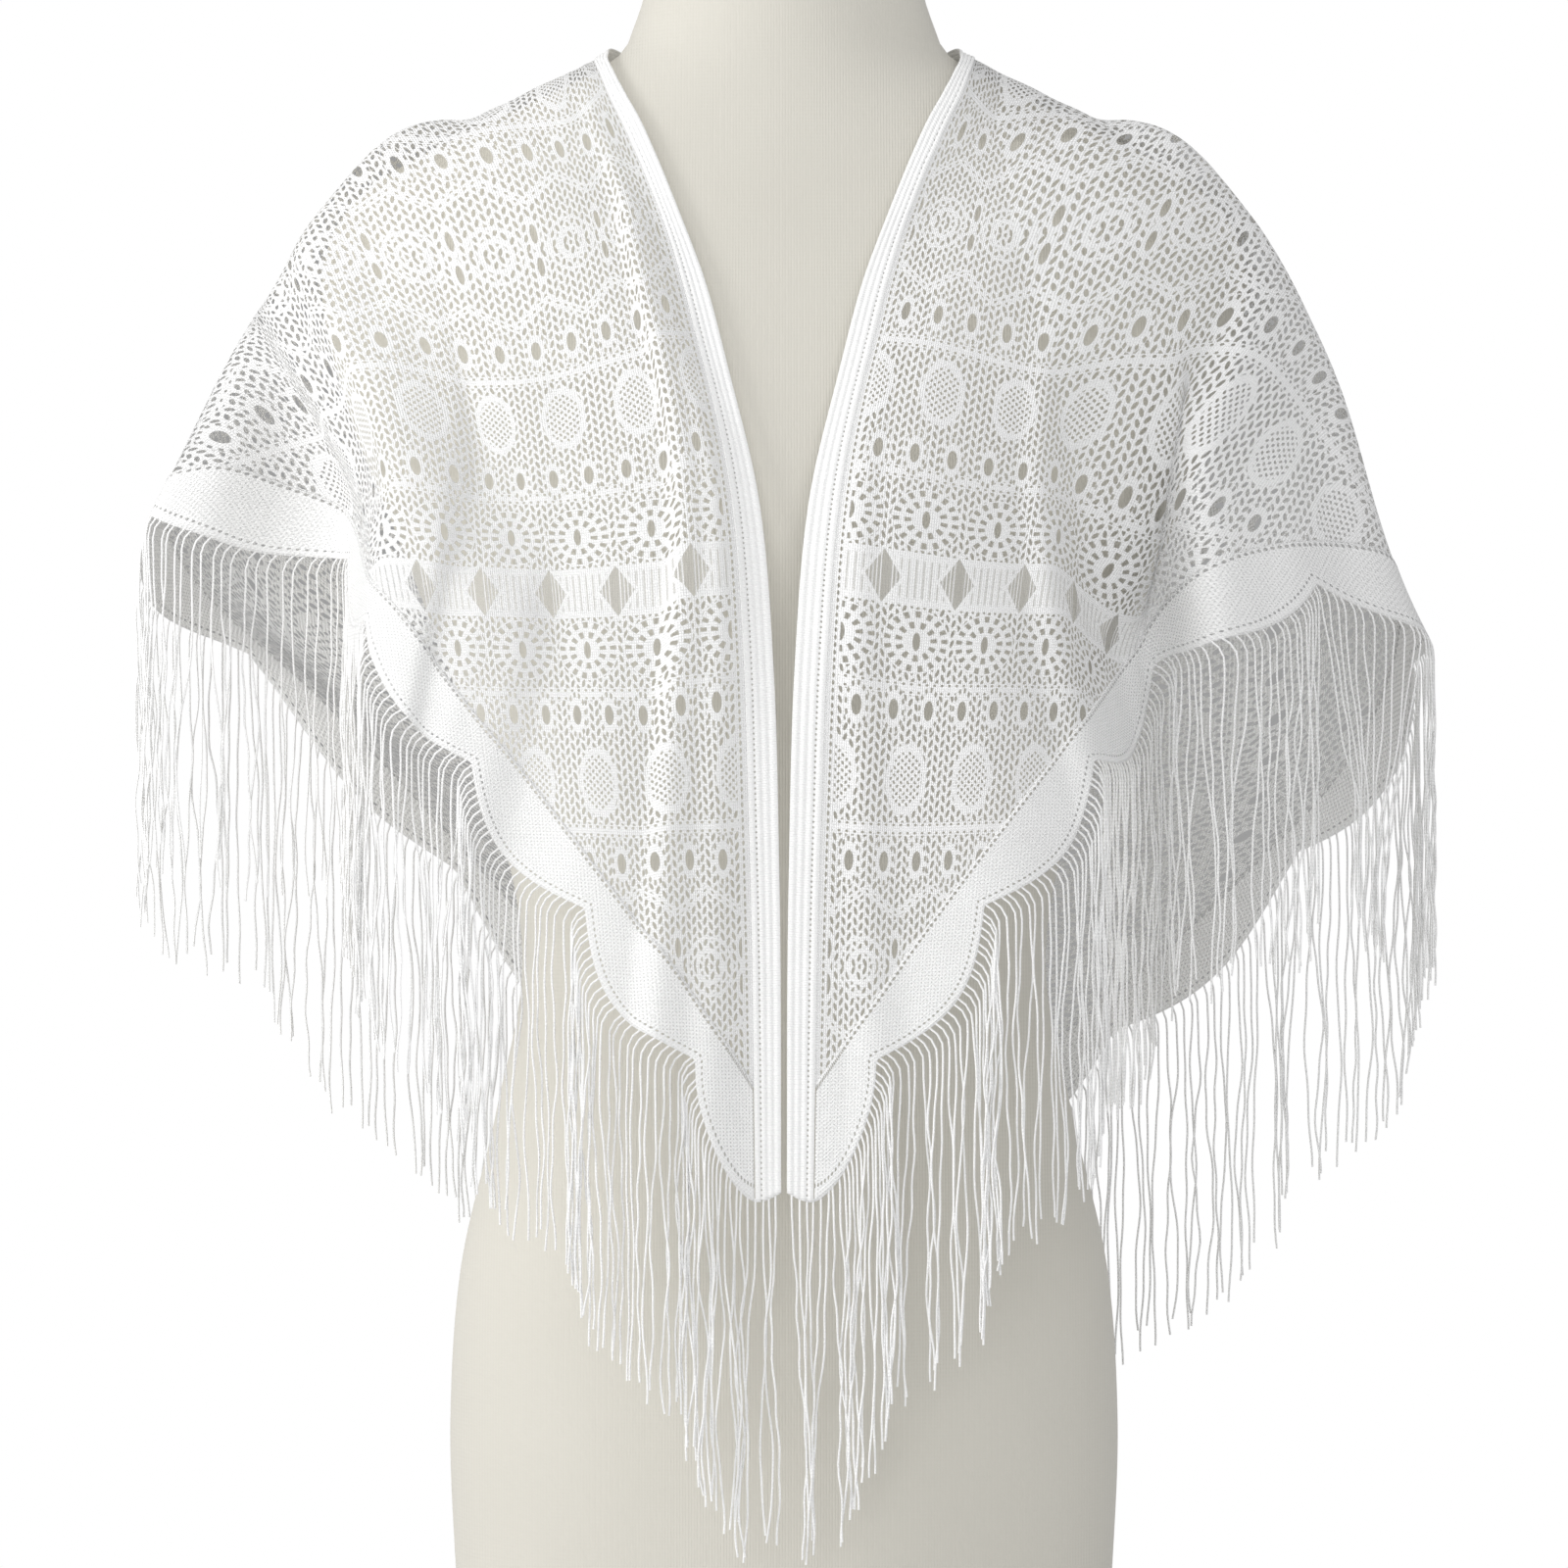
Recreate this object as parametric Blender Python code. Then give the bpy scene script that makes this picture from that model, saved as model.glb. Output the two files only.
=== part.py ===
"""Lace triangle shawl with a fringed hem, resting on a limbless dress form.

The shawl is one flat right-angled cut, twice: each half has its long edge from the nape of
the neck to a front tip, and its short edge down the centre of the back. A point of a half is
named by u, its distance along the long edge, and v, its distance from that edge. The drape
turns u and v into a place in space, so every piece of cloth is cut flat first and then laid
over the form. Metres, +Z up, the wearer faces -Y, and the wearer's left side is at +X.
"""

import math

import bmesh
import bpy
import numpy as np
from mathutils.geometry import delaunay_2d_cdt

for leftover in list(bpy.data.objects):
    bpy.data.objects.remove(leftover, do_unlink=True)

# Flat cut of one half of the shawl
EDGE_LENGTH = 0.649  # nape to front tip, along the taped edge
BACK_DEPTH = 0.440  # nape to back point, without the fringe
HEM_LENGTH = math.hypot(EDGE_LENGTH, BACK_DEPTH)
TAPE_WIDTH = 0.012
BORDER_WIDTH = 0.025
SCALLOPS = 9.5  # on one half: a notch at the front tip and a full scallop at the back point
SCALLOP_PITCH = HEM_LENGTH / SCALLOPS
SCALLOP_DEPTH = 0.017
NOTCH_DEPTH = 0.008  # how far a notch goes in from the straight hem line
CELLS_PER_SCALLOP = 6
SEAM = 0.0012
LACE_WALL = 0.0012
TAPE_WALL = 0.0012
TAPE_RIB = 0.0020
BORDER_WALL = 0.0014
TAPE_SIDE_V = TAPE_WIDTH + SEAM
HEM_AT_TAPE = TAPE_SIDE_V * HEM_LENGTH / BACK_DEPTH
STRAIGHT_HEM = (0.10, 0.90)  # shares of the hem between which a step across it is square to it
FRONT_SHARE = 30 / 57  # share of the hem, from the front tip, that belongs to the front pieces
SIDE_SHARE = 45 / 57  # share of the hem up to where the middle panel of the back begins

# Lace pattern along u: diamonds repeat, with a row of eyelets on each side of them
BAND_REPEAT = 0.356
DIAMOND_PITCH = 0.029
DIAMOND_FIRST = 0.031
DIAMOND_HALF = (0.0118, 0.0068)  # along u, along v
EYELET_BANDS = (0.060, 0.130)  # distance from a row of diamonds
EYELET_PITCH = 0.0145
EYELET_HALF = (0.0048, 0.0023)
PANEL_GRID = 0.022
PANEL_MARGIN = 0.35  # least distance of an inner point from a panel's sides, in grid steps
GRID_START = 0.3  # first row of inner points above the tape's side, in grid steps
CLEAR_OF_HOLE = 0.0045
BOW = 0.0012  # how far a straight side is bowed inwards while it is divided into triangles

# Fringe
STRAND_SPACING = 0.0084  # along the hem
STRAND_LENGTH = 0.155
STRAND_RADIUS = 0.00075
STRAND_SIDES = 3
STRAND_GAP = 0.0027  # least distance between two strands, seen from above
LEAVE_REACH = 0.006  # how far a strand leaves its backing before it hangs, and how far it
LEAVE_DROP = 0.008  # drops and how much of its length it uses up on the way
LEAVE_LENGTH = 0.012
SWAY = 0.0012
SWAY_BACK = 0.3  # share of the sway that goes to the back
SWAY_TURN = 0.9  # radians from one strand to the next
LENGTH_SPREAD = 0.05
LENGTH_TURN = 1.7
BACKING_WIDTH = 0.0030
BACKING_WALL = 0.0020
FRINGE_SPANS = (("front", 0.0, 0.30), ("side", 0.30, 0.62), ("back", 0.62, 1.0))

# Gap between the cloth and the form where the cloth rests on it
REST_GAP = 0.0037
REST_SOFTNESS = 0.0030

# Dress form, a row for each level section: height, half width, depth to the front, depth to
# the back, squareness
FORM_SECTIONS = (
    (0.000, 0.1460, 0.100, 0.108, 2.2),
    (0.080, 0.1500, 0.105, 0.115, 2.2),
    (0.160, 0.1530, 0.108, 0.118, 2.2),
    (0.230, 0.1480, 0.104, 0.108, 2.2),
    (0.300, 0.1320, 0.094, 0.090, 2.1),
    (0.370, 0.1200, 0.087, 0.080, 2.1),
    (0.440, 0.1330, 0.094, 0.086, 2.1),
    (0.500, 0.1530, 0.109, 0.096, 2.1),
    (0.560, 0.1760, 0.119, 0.104, 2.2),
    (0.610, 0.1960, 0.112, 0.108, 2.2),
    (0.650, 0.2080, 0.099, 0.106, 2.2),
    (0.680, 0.2120, 0.088, 0.101, 2.1),
    (0.700, 0.2080, 0.081, 0.096, 2.0),
    (0.715, 0.1990, 0.076, 0.091, 1.9),
    (0.730, 0.1810, 0.071, 0.085, 1.8),
    (0.750, 0.1430, 0.064, 0.076, 1.8),
    (0.768, 0.1040, 0.059, 0.069, 1.9),
    (0.782, 0.0780, 0.056, 0.064, 2.0),
    (0.800, 0.0680, 0.053, 0.060, 2.0),
    (0.830, 0.0610, 0.050, 0.056, 2.0),
    (0.860, 0.0575, 0.048, 0.054, 2.0),
    (0.874, 0.0540, 0.045, 0.051, 2.0),
)
FORM_SIDES = 28

# Taped edge of the left half, a row for each place along it: u, x, y, z
TAPE_LINE = (
    (0.000, 0.0000, 0.088, 0.752),
    (0.040, 0.0450, 0.070, 0.771),
    (0.089, 0.0765, 0.004, 0.785),
    (0.138, 0.0605, -0.045, 0.742),
    (0.178, 0.0450, -0.071, 0.700),
    (0.213, 0.0350, -0.087, 0.672),
    (0.261, 0.0240, -0.105, 0.630),
    (0.323, 0.0115, -0.123, 0.577),
    (0.408, 0.0045, -0.133, 0.497),
    (0.498, 0.0020, -0.135, 0.407),
    (0.649, 0.0012, -0.134, 0.2565),
)

# Rings of cloth, each at one share of the way from the nape to the hem. The tape line is
# column 0, and a ring then passes the chest, the arm, the front of the side lobe, the outline
# at the side, the shoulder blade and the middle of the back.
LAST_COLUMN = 6
RINGS = (
    (0.15, (0.084, 0.022, 0.776), (0.083, 0.048, 0.757), (0.078, 0.066, 0.738),
     (0.068, 0.080, 0.722), (0.036, 0.097, 0.692), (0.0, 0.104, 0.675)),
    (0.35, (0.078, -0.075, 0.703), (0.125, -0.040, 0.741), (0.145, -0.018, 0.747),
     (0.160, 0.010, 0.747), (0.115, 0.092, 0.665), (0.0, 0.124, 0.572)),
    (0.55, (0.055, -0.124, 0.590), (0.112, -0.095, 0.636), (0.175, -0.050, 0.690),
     (0.214, 0.004, 0.704), (0.175, 0.100, 0.575), (0.0, 0.135, 0.468)),
    (0.75, (0.060, -0.131, 0.484), (0.115, -0.112, 0.548), (0.180, -0.058, 0.617),
     (0.256, 0.008, 0.634), (0.218, 0.106, 0.480), (0.0, 0.142, 0.365)),
    (1.00, (0.070, -0.131, 0.360), (0.136, -0.113, 0.449), (0.192, -0.060, 0.522),
     (0.298, 0.012, 0.548), (0.250, 0.108, 0.415), (0.0, 0.149, 0.236)),
)

# Folds. Place counts ring columns, tape 0 to back 6, where the fold starts and at the hem.
# Rise and fall are its two widths in columns. It grows from one share of the way to the hem
# to another, and moves the cloth forward, outward and up.
FOLD_COLUMNS = ("side", "start_at", "hem_at", "rise", "fall", "grows_from", "grows_to",
                "forward", "outward", "up")
FOLDS = (
    (-1, 3.90, 2.78, 1.30, 0.36, 0.48, 0.85, 0.046, 0.004, 0.000),
    (-1, 4.30, 3.16, 0.30, 0.80, 0.55, 0.95, -0.058, 0.000, 0.022),
    (-1, 4.10, 4.05, 0.85, 1.00, 0.60, 1.00, 0.000, -0.004, 0.020),
    (-1, 5.00, 5.05, 1.00, 0.95, 0.60, 1.00, 0.000, 0.000, 0.088),
    (-1, 1.10, 1.25, 0.90, 0.90, 0.55, 0.85, 0.012, 0.000, 0.000),
    (-1, 0.80, 0.70, 0.70, 0.30, 0.12, 0.24, 0.008, 0.004, 0.009),
    (1, 2.75, 2.58, 0.60, 0.42, 0.50, 0.90, -0.050, 0.000, -0.006),
    (1, 3.80, 3.10, 0.40, 0.60, 0.50, 0.85, 0.020, 0.002, 0.000),
    (1, 1.30, 1.45, 0.80, 0.70, 0.60, 1.00, 0.008, 0.000, 0.000),
    (1, 4.00, 3.80, 0.85, 0.90, 0.70, 1.00, 0.000, -0.010, -0.022),
    (1, 5.55, 5.60, 0.60, 0.40, 0.70, 1.00, 0.000, 0.000, -0.026),
    (-1, 4.90, 4.85, 0.45, 0.40, 0.45, 0.95, -0.014, 0.004, 0.000),
    (-1, 5.55, 5.50, 0.35, 0.30, 0.55, 1.00, -0.011, 0.000, 0.000),
    (1, 4.80, 4.70, 0.40, 0.45, 0.50, 1.00, -0.016, 0.003, 0.000),
    (1, 5.45, 5.45, 0.30, 0.38, 0.50, 0.95, -0.010, 0.000, 0.000),
)
EVEN_SHARE = 0.35  # up to this share of a ring the cloth is not stretched along it
STRETCH_POWER = {-1: 1.75, 1: 1.10}  # how late the stretch comes in, by side
FURTHEST_SHARE = 1.06
SHARE_STEPS = 110
RING_STEPS = 420
NORMAL_REACH = 0.003


def through(knots, rows, at):
    """Smooth curve through the rows of a table, read at places along it."""
    knots = np.asarray(knots, float)
    rows = np.asarray(rows, float)
    at = np.asarray(at, float)
    slopes = np.gradient(rows, knots, axis=0)
    first = np.clip(np.searchsorted(knots, at, side="right") - 1, 0, len(knots) - 2)
    span = knots[first + 1] - knots[first]
    t = (at - knots[first]) / span
    shape = t.shape + (1,) * (rows.ndim - 1)
    t = t.reshape(shape)
    span = span.reshape(shape)
    inside = np.clip(t, 0.0, 1.0)
    beyond = (t - inside) * span
    value = (
        (2 * inside**3 - 3 * inside**2 + 1) * rows[first]
        + (inside**3 - 2 * inside**2 + inside) * span * slopes[first]
        + (3 * inside**2 - 2 * inside**3) * rows[first + 1]
        + (inside**3 - inside**2) * span * slopes[first + 1]
    )
    return value + beyond * np.where(t > 0.5, slopes[first + 1], slopes[first])


def ease(x):
    """Smooth step from 0 to 1."""
    x = np.clip(x, 0.0, 1.0)
    return x * x * (3 - 2 * x)


FORM_TABLE = np.array(FORM_SECTIONS)


def form_level(points):
    """0 on the form's surface, less inside it and more outside it."""
    x, y, z = points[..., 0], points[..., 1], points[..., 2]
    height = np.clip(z.ravel(), FORM_TABLE[0, 0], FORM_TABLE[-1, 0])
    section = through(FORM_TABLE[:, 0], FORM_TABLE[:, 1:], height).reshape(z.shape + (4,))
    half_width, front, back, squareness = (section[..., k] for k in range(4))
    depth = np.where(y < 0, front, back)
    total = (np.abs(x) / half_width) ** squareness + (np.abs(y) / depth) ** squareness
    return np.maximum(total, 1e-9) ** (1 / squareness) - 1


def off_form(points):
    """Distance of points from the form's surface, and the direction away from it."""
    step = 0.0005
    level = form_level(points)
    slope = np.stack(
        [
            (form_level(points + step * axis) - form_level(points - step * axis)) / (2 * step)
            for axis in np.eye(3)
        ],
        axis=-1,
    )
    steepness = np.linalg.norm(slope, axis=-1)
    return level / steepness, slope / steepness[..., None]


def clear_of_form(points):
    """Moves cloth that would touch the form out to its rest gap, softly."""
    distance, away = off_form(points)
    excess = np.clip((distance - REST_GAP) / REST_SOFTNESS, -30, 30)
    rested = REST_GAP + REST_SOFTNESS * np.log1p(np.exp(excess))
    shift = np.where(excess < 6, rested - distance, 0.0)
    points = points + shift[..., None] * away
    for _ in range(2):
        distance, away = off_form(points)
        points = points + np.maximum(REST_GAP - distance, 0.0)[..., None] * away
    return points


def folded(side, share, columns, ring):
    """One ring's points with the folds of its side."""
    moved = ring.copy()
    for fold in FOLDS:
        row = dict(zip(FOLD_COLUMNS, fold))
        if row["side"] != side:
            continue
        grown = float(ease((share - row["grows_from"]) / (row["grows_to"] - row["grows_from"])))
        place = row["start_at"] + (row["hem_at"] - row["start_at"]) * grown
        before = 1 - np.clip((place - columns) / row["rise"], 0, 1)
        after = 1 - np.clip((columns - place) / row["fall"], 0, 1)
        bump = grown * ease(np.where(columns < place, before, after))
        moved += bump[:, None] * np.array([row["outward"], -row["forward"], row["up"]])
    return moved


def arc_shares(side, share, total):
    """Places along a ring's length for even shares of it: the front keeps its flat length."""
    even = np.linspace(0.0, 1.0, RING_STEPS)
    if share == 0:
        return even
    stretch = total / (share * HEM_LENGTH)
    late = np.clip((even - EVEN_SHARE) / (1 - EVEN_SHARE), 0.0, 1.0)
    gained = (stretch - 1) * late ** STRETCH_POWER[side]
    return (even + gained) / stretch


def drape(side):
    """Grid of one half's cloth, by share of the way to the hem and share round the ring.

    A guard row and a guard column carry the curves on across the centre of the back."""
    tape = np.array(TAPE_LINE)
    tape = np.vstack([tape[1] * (-1, -1, 1, 1), tape])
    shares = np.linspace(0.0, FURTHEST_SHARE, SHARE_STEPS)
    knots = [0.0] + [row[0] for row in RINGS]
    nape = np.tile(TAPE_LINE[0][1:], (LAST_COLUMN, 1))
    anchors = np.array([nape] + [np.array(row[1:]) for row in RINGS])
    columns = np.linspace(0.0, LAST_COLUMN, RING_STEPS)
    grid = []
    for share in shares:
        edge = through(tape[:, 0], tape[:, 1:], np.array([share * EDGE_LENGTH]))[0]
        others = through(knots, anchors, np.array([share]))[0]
        blade, back = others[-2], others[-1]
        guard = np.array([-blade[0], blade[1], 2 * back[2] - blade[2]])
        ring = through(np.arange(LAST_COLUMN + 2), np.vstack([edge, others, guard]), columns)
        ring = folded(side, share, columns, ring)
        ring = clear_of_form(ring)
        ring[-1, 0] = 0.0
        along = np.concatenate([[0.0], np.cumsum(np.linalg.norm(np.diff(ring, axis=0), axis=1))])
        total = max(along[-1], 1e-9)
        even = arc_shares(side, share, total)
        grid.append(np.stack([np.interp(even, along / total, ring[:, k]) for k in range(3)], axis=1))
    grid = np.array(grid)
    grid[0] = grid[0, 0]
    grid[..., 0] *= side
    return grid


GRIDS = {side: drape(side) for side in (-1, 1)}


def place(side, u, v):
    """Place in space of flat points of one half."""
    u, v = np.broadcast_arrays(np.asarray(u, float), np.asarray(v, float))
    share = np.maximum(u / EDGE_LENGTH + v / BACK_DEPTH, 1e-6)
    round_ring = np.clip((v / BACK_DEPTH) / share, 0.0, 1.0)
    row = np.clip(share / FURTHEST_SHARE, 0, 1) * (SHARE_STEPS - 1)
    column = round_ring * (RING_STEPS - 1)
    i = np.minimum(row.astype(int), SHARE_STEPS - 2)
    j = np.minimum(column.astype(int), RING_STEPS - 2)
    a = (row - i)[..., None]
    b = (column - j)[..., None]
    g = GRIDS[side]
    return (1 - a) * ((1 - b) * g[i, j] + b * g[i, j + 1]) + a * (
        (1 - b) * g[i + 1, j] + b * g[i + 1, j + 1]
    )


def outward(side, u, v):
    """Unit directions away from the form at flat points of one half."""
    reach = NORMAL_REACH
    low_v = np.maximum(v - reach, 0.0)
    low_u = np.maximum(u - reach, 0.0)
    along_u = place(side, u + reach, v) - place(side, low_u, v)
    along_v = place(side, u, v + reach) - place(side, u, low_v)
    normal = np.cross(along_u, along_v) * side
    return normal / np.linalg.norm(normal, axis=-1, keepdims=True)


def edge_of_hem(h):
    """How far the scalloped edge lies outside the straight hem line."""
    return SCALLOP_DEPTH * np.abs(np.sin(np.pi * h / SCALLOP_PITCH)) - NOTCH_DEPTH


def hem_point(h, d):
    """Flat point at h along the hem from the front tip and d outside its straight line.

    The step across the hem runs along the tape at the tip and along the centre back line at
    the back point, so that the strip ends square to the tape and to the centre."""
    h = np.asarray(h, float)
    straight = (EDGE_LENGTH / HEM_LENGTH) ** 2
    turns = (HEM_AT_TAPE / HEM_LENGTH, *STRAIGHT_HEM, 1.0)
    lean = np.interp(h / HEM_LENGTH, turns, (0.0, straight, straight, 1.0))
    normal_u = BACK_DEPTH / HEM_LENGTH
    normal_v = EDGE_LENGTH / HEM_LENGTH
    u = EDGE_LENGTH - h * normal_v + d * (1 - lean) / normal_u
    v = h * normal_u + d * lean / normal_v
    return u, v


def material(name, colour, roughness):
    made = bpy.data.materials.new(name)
    made.use_nodes = True
    shader = made.node_tree.nodes["Principled BSDF"]
    shader.inputs["Base Color"].default_value = (*colour, 1.0)
    shader.inputs["Roughness"].default_value = roughness
    shader.inputs["Metallic"].default_value = 0.0
    return made


SHAWL = bpy.data.collections.new("lace_shawl_on_form")
bpy.context.scene.collection.children.link(SHAWL)
GUIDES = bpy.data.collections.new("guides")
bpy.context.scene.collection.children.link(GUIDES)


def add_object(name, bm, mat, collection=SHAWL):
    bmesh.ops.recalc_face_normals(bm, faces=bm.faces)
    mesh = bpy.data.meshes.new(name)
    bm.to_mesh(mesh)
    bm.free()
    mesh.materials.append(mat)
    mesh.shade_smooth()
    mesh.set_sharp_from_angle(angle=math.radians(40))
    made = bpy.data.objects.new(name, mesh)
    collection.objects.link(made)
    return made


def cloth_wall(name, mat, points, faces, inner, outer):
    """Closed wall over a flat cut: the cut laid over the form, then given its thickness."""
    signed_u = np.array([p[0] for p in points])
    v = np.array([p[1] for p in points])
    u = np.abs(signed_u)
    places = np.zeros((len(points), 3))
    normals = np.zeros((len(points), 3))
    for side in (-1, 1):
        chosen = signed_u >= 0 if side == 1 else signed_u < 0
        if chosen.any():
            places[chosen] = place(side, u[chosen], v[chosen])
            normals[chosen] = outward(side, u[chosen], v[chosen])
    middle = u < 1e-9
    normals[middle, 0] = 0.0
    normals /= np.linalg.norm(normals, axis=1, keepdims=True)
    inner = np.broadcast_to(inner, v.shape)
    outer = np.broadcast_to(outer, v.shape)
    bm = bmesh.new()
    number = bm.verts.layers.int.new("number")
    verts = []
    for k, at in enumerate(places + normals * inner[:, None]):
        vert = bm.verts.new(at)
        vert[number] = k
        verts.append(vert)
    for face in faces:
        bm.faces.new([verts[k] for k in face])
    grown = bmesh.ops.extrude_face_region(bm, geom=list(bm.faces))
    for item in grown["geom"]:
        if isinstance(item, bmesh.types.BMVert):
            k = item[number]
            item.co = places[k] + normals[k] * outer[k]
    bm.verts.layers.int.remove(number)
    bmesh.ops.triangulate(bm, faces=bm.faces)
    return add_object(name, bm, mat)


def strip(columns):
    """Points and faces of a strip, from a list of rows across it."""
    points = [p for column in columns for p in column]
    wide = len(columns[0])
    faces = []
    for i in range(len(columns) - 1):
        for j in range(wide - 1):
            a = i * wide + j
            faces.append((a, a + 1, a + wide + 1, a + wide))
    return points, faces


# Stations shared by neighbouring pieces, so that their seams stay parallel
HEM_CELL = SCALLOP_PITCH / CELLS_PER_SCALLOP
HEM_STATIONS = [HEM_AT_TAPE] + [
    k * HEM_CELL for k in range(2, int(round(HEM_LENGTH / HEM_CELL)) + 1)
]
HEM_SPLIT = FRONT_SHARE * HEM_LENGTH
MIDDLE_SPLIT = SIDE_SHARE * HEM_LENGTH
TAPE_CELL = 0.0165
LEAST_CELL = 0.003  # a station nearer than this to the end of a run is left out


def split_point(split, share_out, offset):
    """Flat point on a line between two panels, by share of the way from nape to hem.

    The line is named by its place along the hem and moved aside by the offset."""
    u, v = hem_point(split, 0.0)
    length = math.hypot(u, v)
    along = share_out - offset * (u / BACK_DEPTH - v / EDGE_LENGTH) / length
    return along * u - offset * v / length, along * v + offset * u / length


def split_at_hem(split, d, offset):
    """Flat point on a line between two panels at d outside the straight hem line."""
    return split_point(split, 1 + d * HEM_LENGTH / (EDGE_LENGTH * BACK_DEPTH), offset)


def foot_of_split(split):
    """Place along the hem where a line between two panels meets the border."""
    nearest = EDGE_LENGTH**2 / HEM_LENGTH
    share_out = 1 + (INNER_D - SEAM) * HEM_LENGTH / (EDGE_LENGTH * BACK_DEPTH)
    return nearest + share_out * (split - nearest)


def split_at_tape(split, offset):
    """Distance along the tape where a line between two panels leaves it."""
    u, v = hem_point(split, 0.0)
    length = math.hypot(u, v)
    start = (TAPE_SIDE_V - offset * u / length) / v
    return start * u - offset * v / length


def tape_stations(first, last):
    count = max(2, int(round((last - first) / TAPE_CELL)))
    return list(np.linspace(first, last, count + 1))


SPLIT_U = split_at_tape(HEM_SPLIT, 0.0)
INNER_D = -BORDER_WIDTH
LACE_END_U = float(hem_point(HEM_AT_TAPE, INNER_D - SEAM)[0])
NECK_STATIONS = tape_stations(0.0, SPLIT_U)
NECK_TAPE_END = 0.089
FRONT_TAPE_STATIONS = (tape_stations(SPLIT_U, NECK_TAPE_END)
                       + tape_stations(NECK_TAPE_END, LACE_END_U)[1:])
SPLIT_STATIONS = list(np.linspace(0.09, 0.87, 15))


def diamond_rows():
    """Distances along u of the rows of diamonds on one half."""
    return [k * BAND_REPEAT for k in range(2)]


def hole_places():
    """Centre and half sizes of each hole of one half, with those on the centre line once."""
    holes = []
    for row in diamond_rows():
        for k in range(int(BACK_DEPTH / DIAMOND_PITCH)):
            holes.append((row, DIAMOND_FIRST + k * DIAMOND_PITCH, DIAMOND_HALF))
        for band in EYELET_BANDS:
            for u in {row + band, row - band}:
                if u <= 0:
                    continue
                for k in range(int(BACK_DEPTH / EYELET_PITCH)):
                    v = DIAMOND_FIRST - EYELET_PITCH / 2 + k * EYELET_PITCH
                    holes.append((u, v, EYELET_HALF))
    return sorted(holes)


def inside(polygon, at, margin):
    """True if a flat point lies inside a convex polygon by a margin."""
    for (ax, ay), (bx, by) in zip(polygon, polygon[1:] + polygon[:1]):
        length = math.hypot(bx - ax, by - ay)
        if length < 1e-9:
            continue
        if ((bx - ax) * (at[1] - ay) - (by - ay) * (at[0] - ax)) / length < margin:
            return False
    return True


def encloses(outline, at):
    """True if a flat point lies inside any outline."""
    crossed = False
    for (au, av), (bu, bv) in zip(outline, outline[1:] + outline[:1]):
        if (av > at[1]) != (bv > at[1]) and at[0] < au + (at[1] - av) * (bu - au) / (bv - av):
            crossed = not crossed
    return crossed


def bowed(run):
    """The points of one straight side of a panel, bowed a little into it."""
    (ax, ay), (bx, by) = run[0], run[-1]
    length = math.hypot(bx - ax, by - ay)
    points = []
    for u, v in run:
        t = math.hypot(u - ax, v - ay) / length
        bow = 4 * BOW * t * (1 - t)
        points.append((u - bow * (by - ay) / length, v + bow * (bx - ax) / length))
    return points


def lace_cut(runs, holes):
    """Flat points and triangles of a lace panel with its larger holes cut out.

    The panel is given as straight sides, each a run of points that ends where the next begins."""
    corners = [run[0] for run in runs]
    outline = [at for run in runs for at in run[:-1]]
    points = [at for run in runs for at in bowed(run)[:-1]]
    edges = [(k, (k + 1) % len(outline)) for k in range(len(outline))]
    kept = []
    for u, v, half in holes:
        tips = [(u + half[0], v), (u, v + half[1]), (u - half[0], v), (u, v - half[1])]
        if all(inside(corners, tip, CLEAR_OF_HOLE) for tip in tips):
            kept.append((u, v, half))
            start = len(points)
            points += tips
            edges += [(start + k, start + (k + 1) % 4) for k in range(4)]
    low_u = min(p[0] for p in outline)
    high_u = max(p[0] for p in outline)
    high_v = max(p[1] for p in outline)
    clear = CLEAR_OF_HOLE
    for i in range(int(math.floor(low_u / PANEL_GRID)), int(math.ceil(high_u / PANEL_GRID)) + 1):
        for j in range(int(high_v / PANEL_GRID) + 1):
            at = ((i + 0.5 * (j % 2)) * PANEL_GRID, (j + GRID_START) * PANEL_GRID)
            near_hole = any(
                abs(at[0] - u) / (half[0] + clear) + abs(at[1] - v) / (half[1] + clear) < 1
                for u, v, half in kept
            )
            if inside(corners, at, PANEL_MARGIN * PANEL_GRID) and not near_hole:
                points.append(at)
    cut = delaunay_2d_cdt(points, edges, [], 0, 1e-7, True)
    verts, faces = [tuple(p) for p in cut[0]], []
    bounds = points[:len(outline)]
    for face in cut[2]:
        middle = np.mean([verts[k] for k in face], axis=0)
        in_hole = any(
            abs(middle[0] - u) / half[0] + abs(middle[1] - v) / half[1] < 1
            for u, v, half in kept
        )
        if encloses(bounds, middle) and not in_hole:
            faces.append(tuple(face))
    for k, came_from in enumerate(cut[3]):
        if came_from[0] < len(outline):
            verts[k] = outline[came_from[0]]
    return verts, faces, len(kept)


LACE = material("white_lace", (0.86, 0.86, 0.87), 0.85)
TAPE = material("ribbed_tape", (0.88, 0.88, 0.89), 0.80)
BORDER = material("dense_border", (0.87, 0.87, 0.88), 0.82)
FRINGE = material("fringe_yarn", (0.90, 0.90, 0.91), 0.75)
FORM = material("ivory_form", (0.80, 0.77, 0.70), 0.60)


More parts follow.
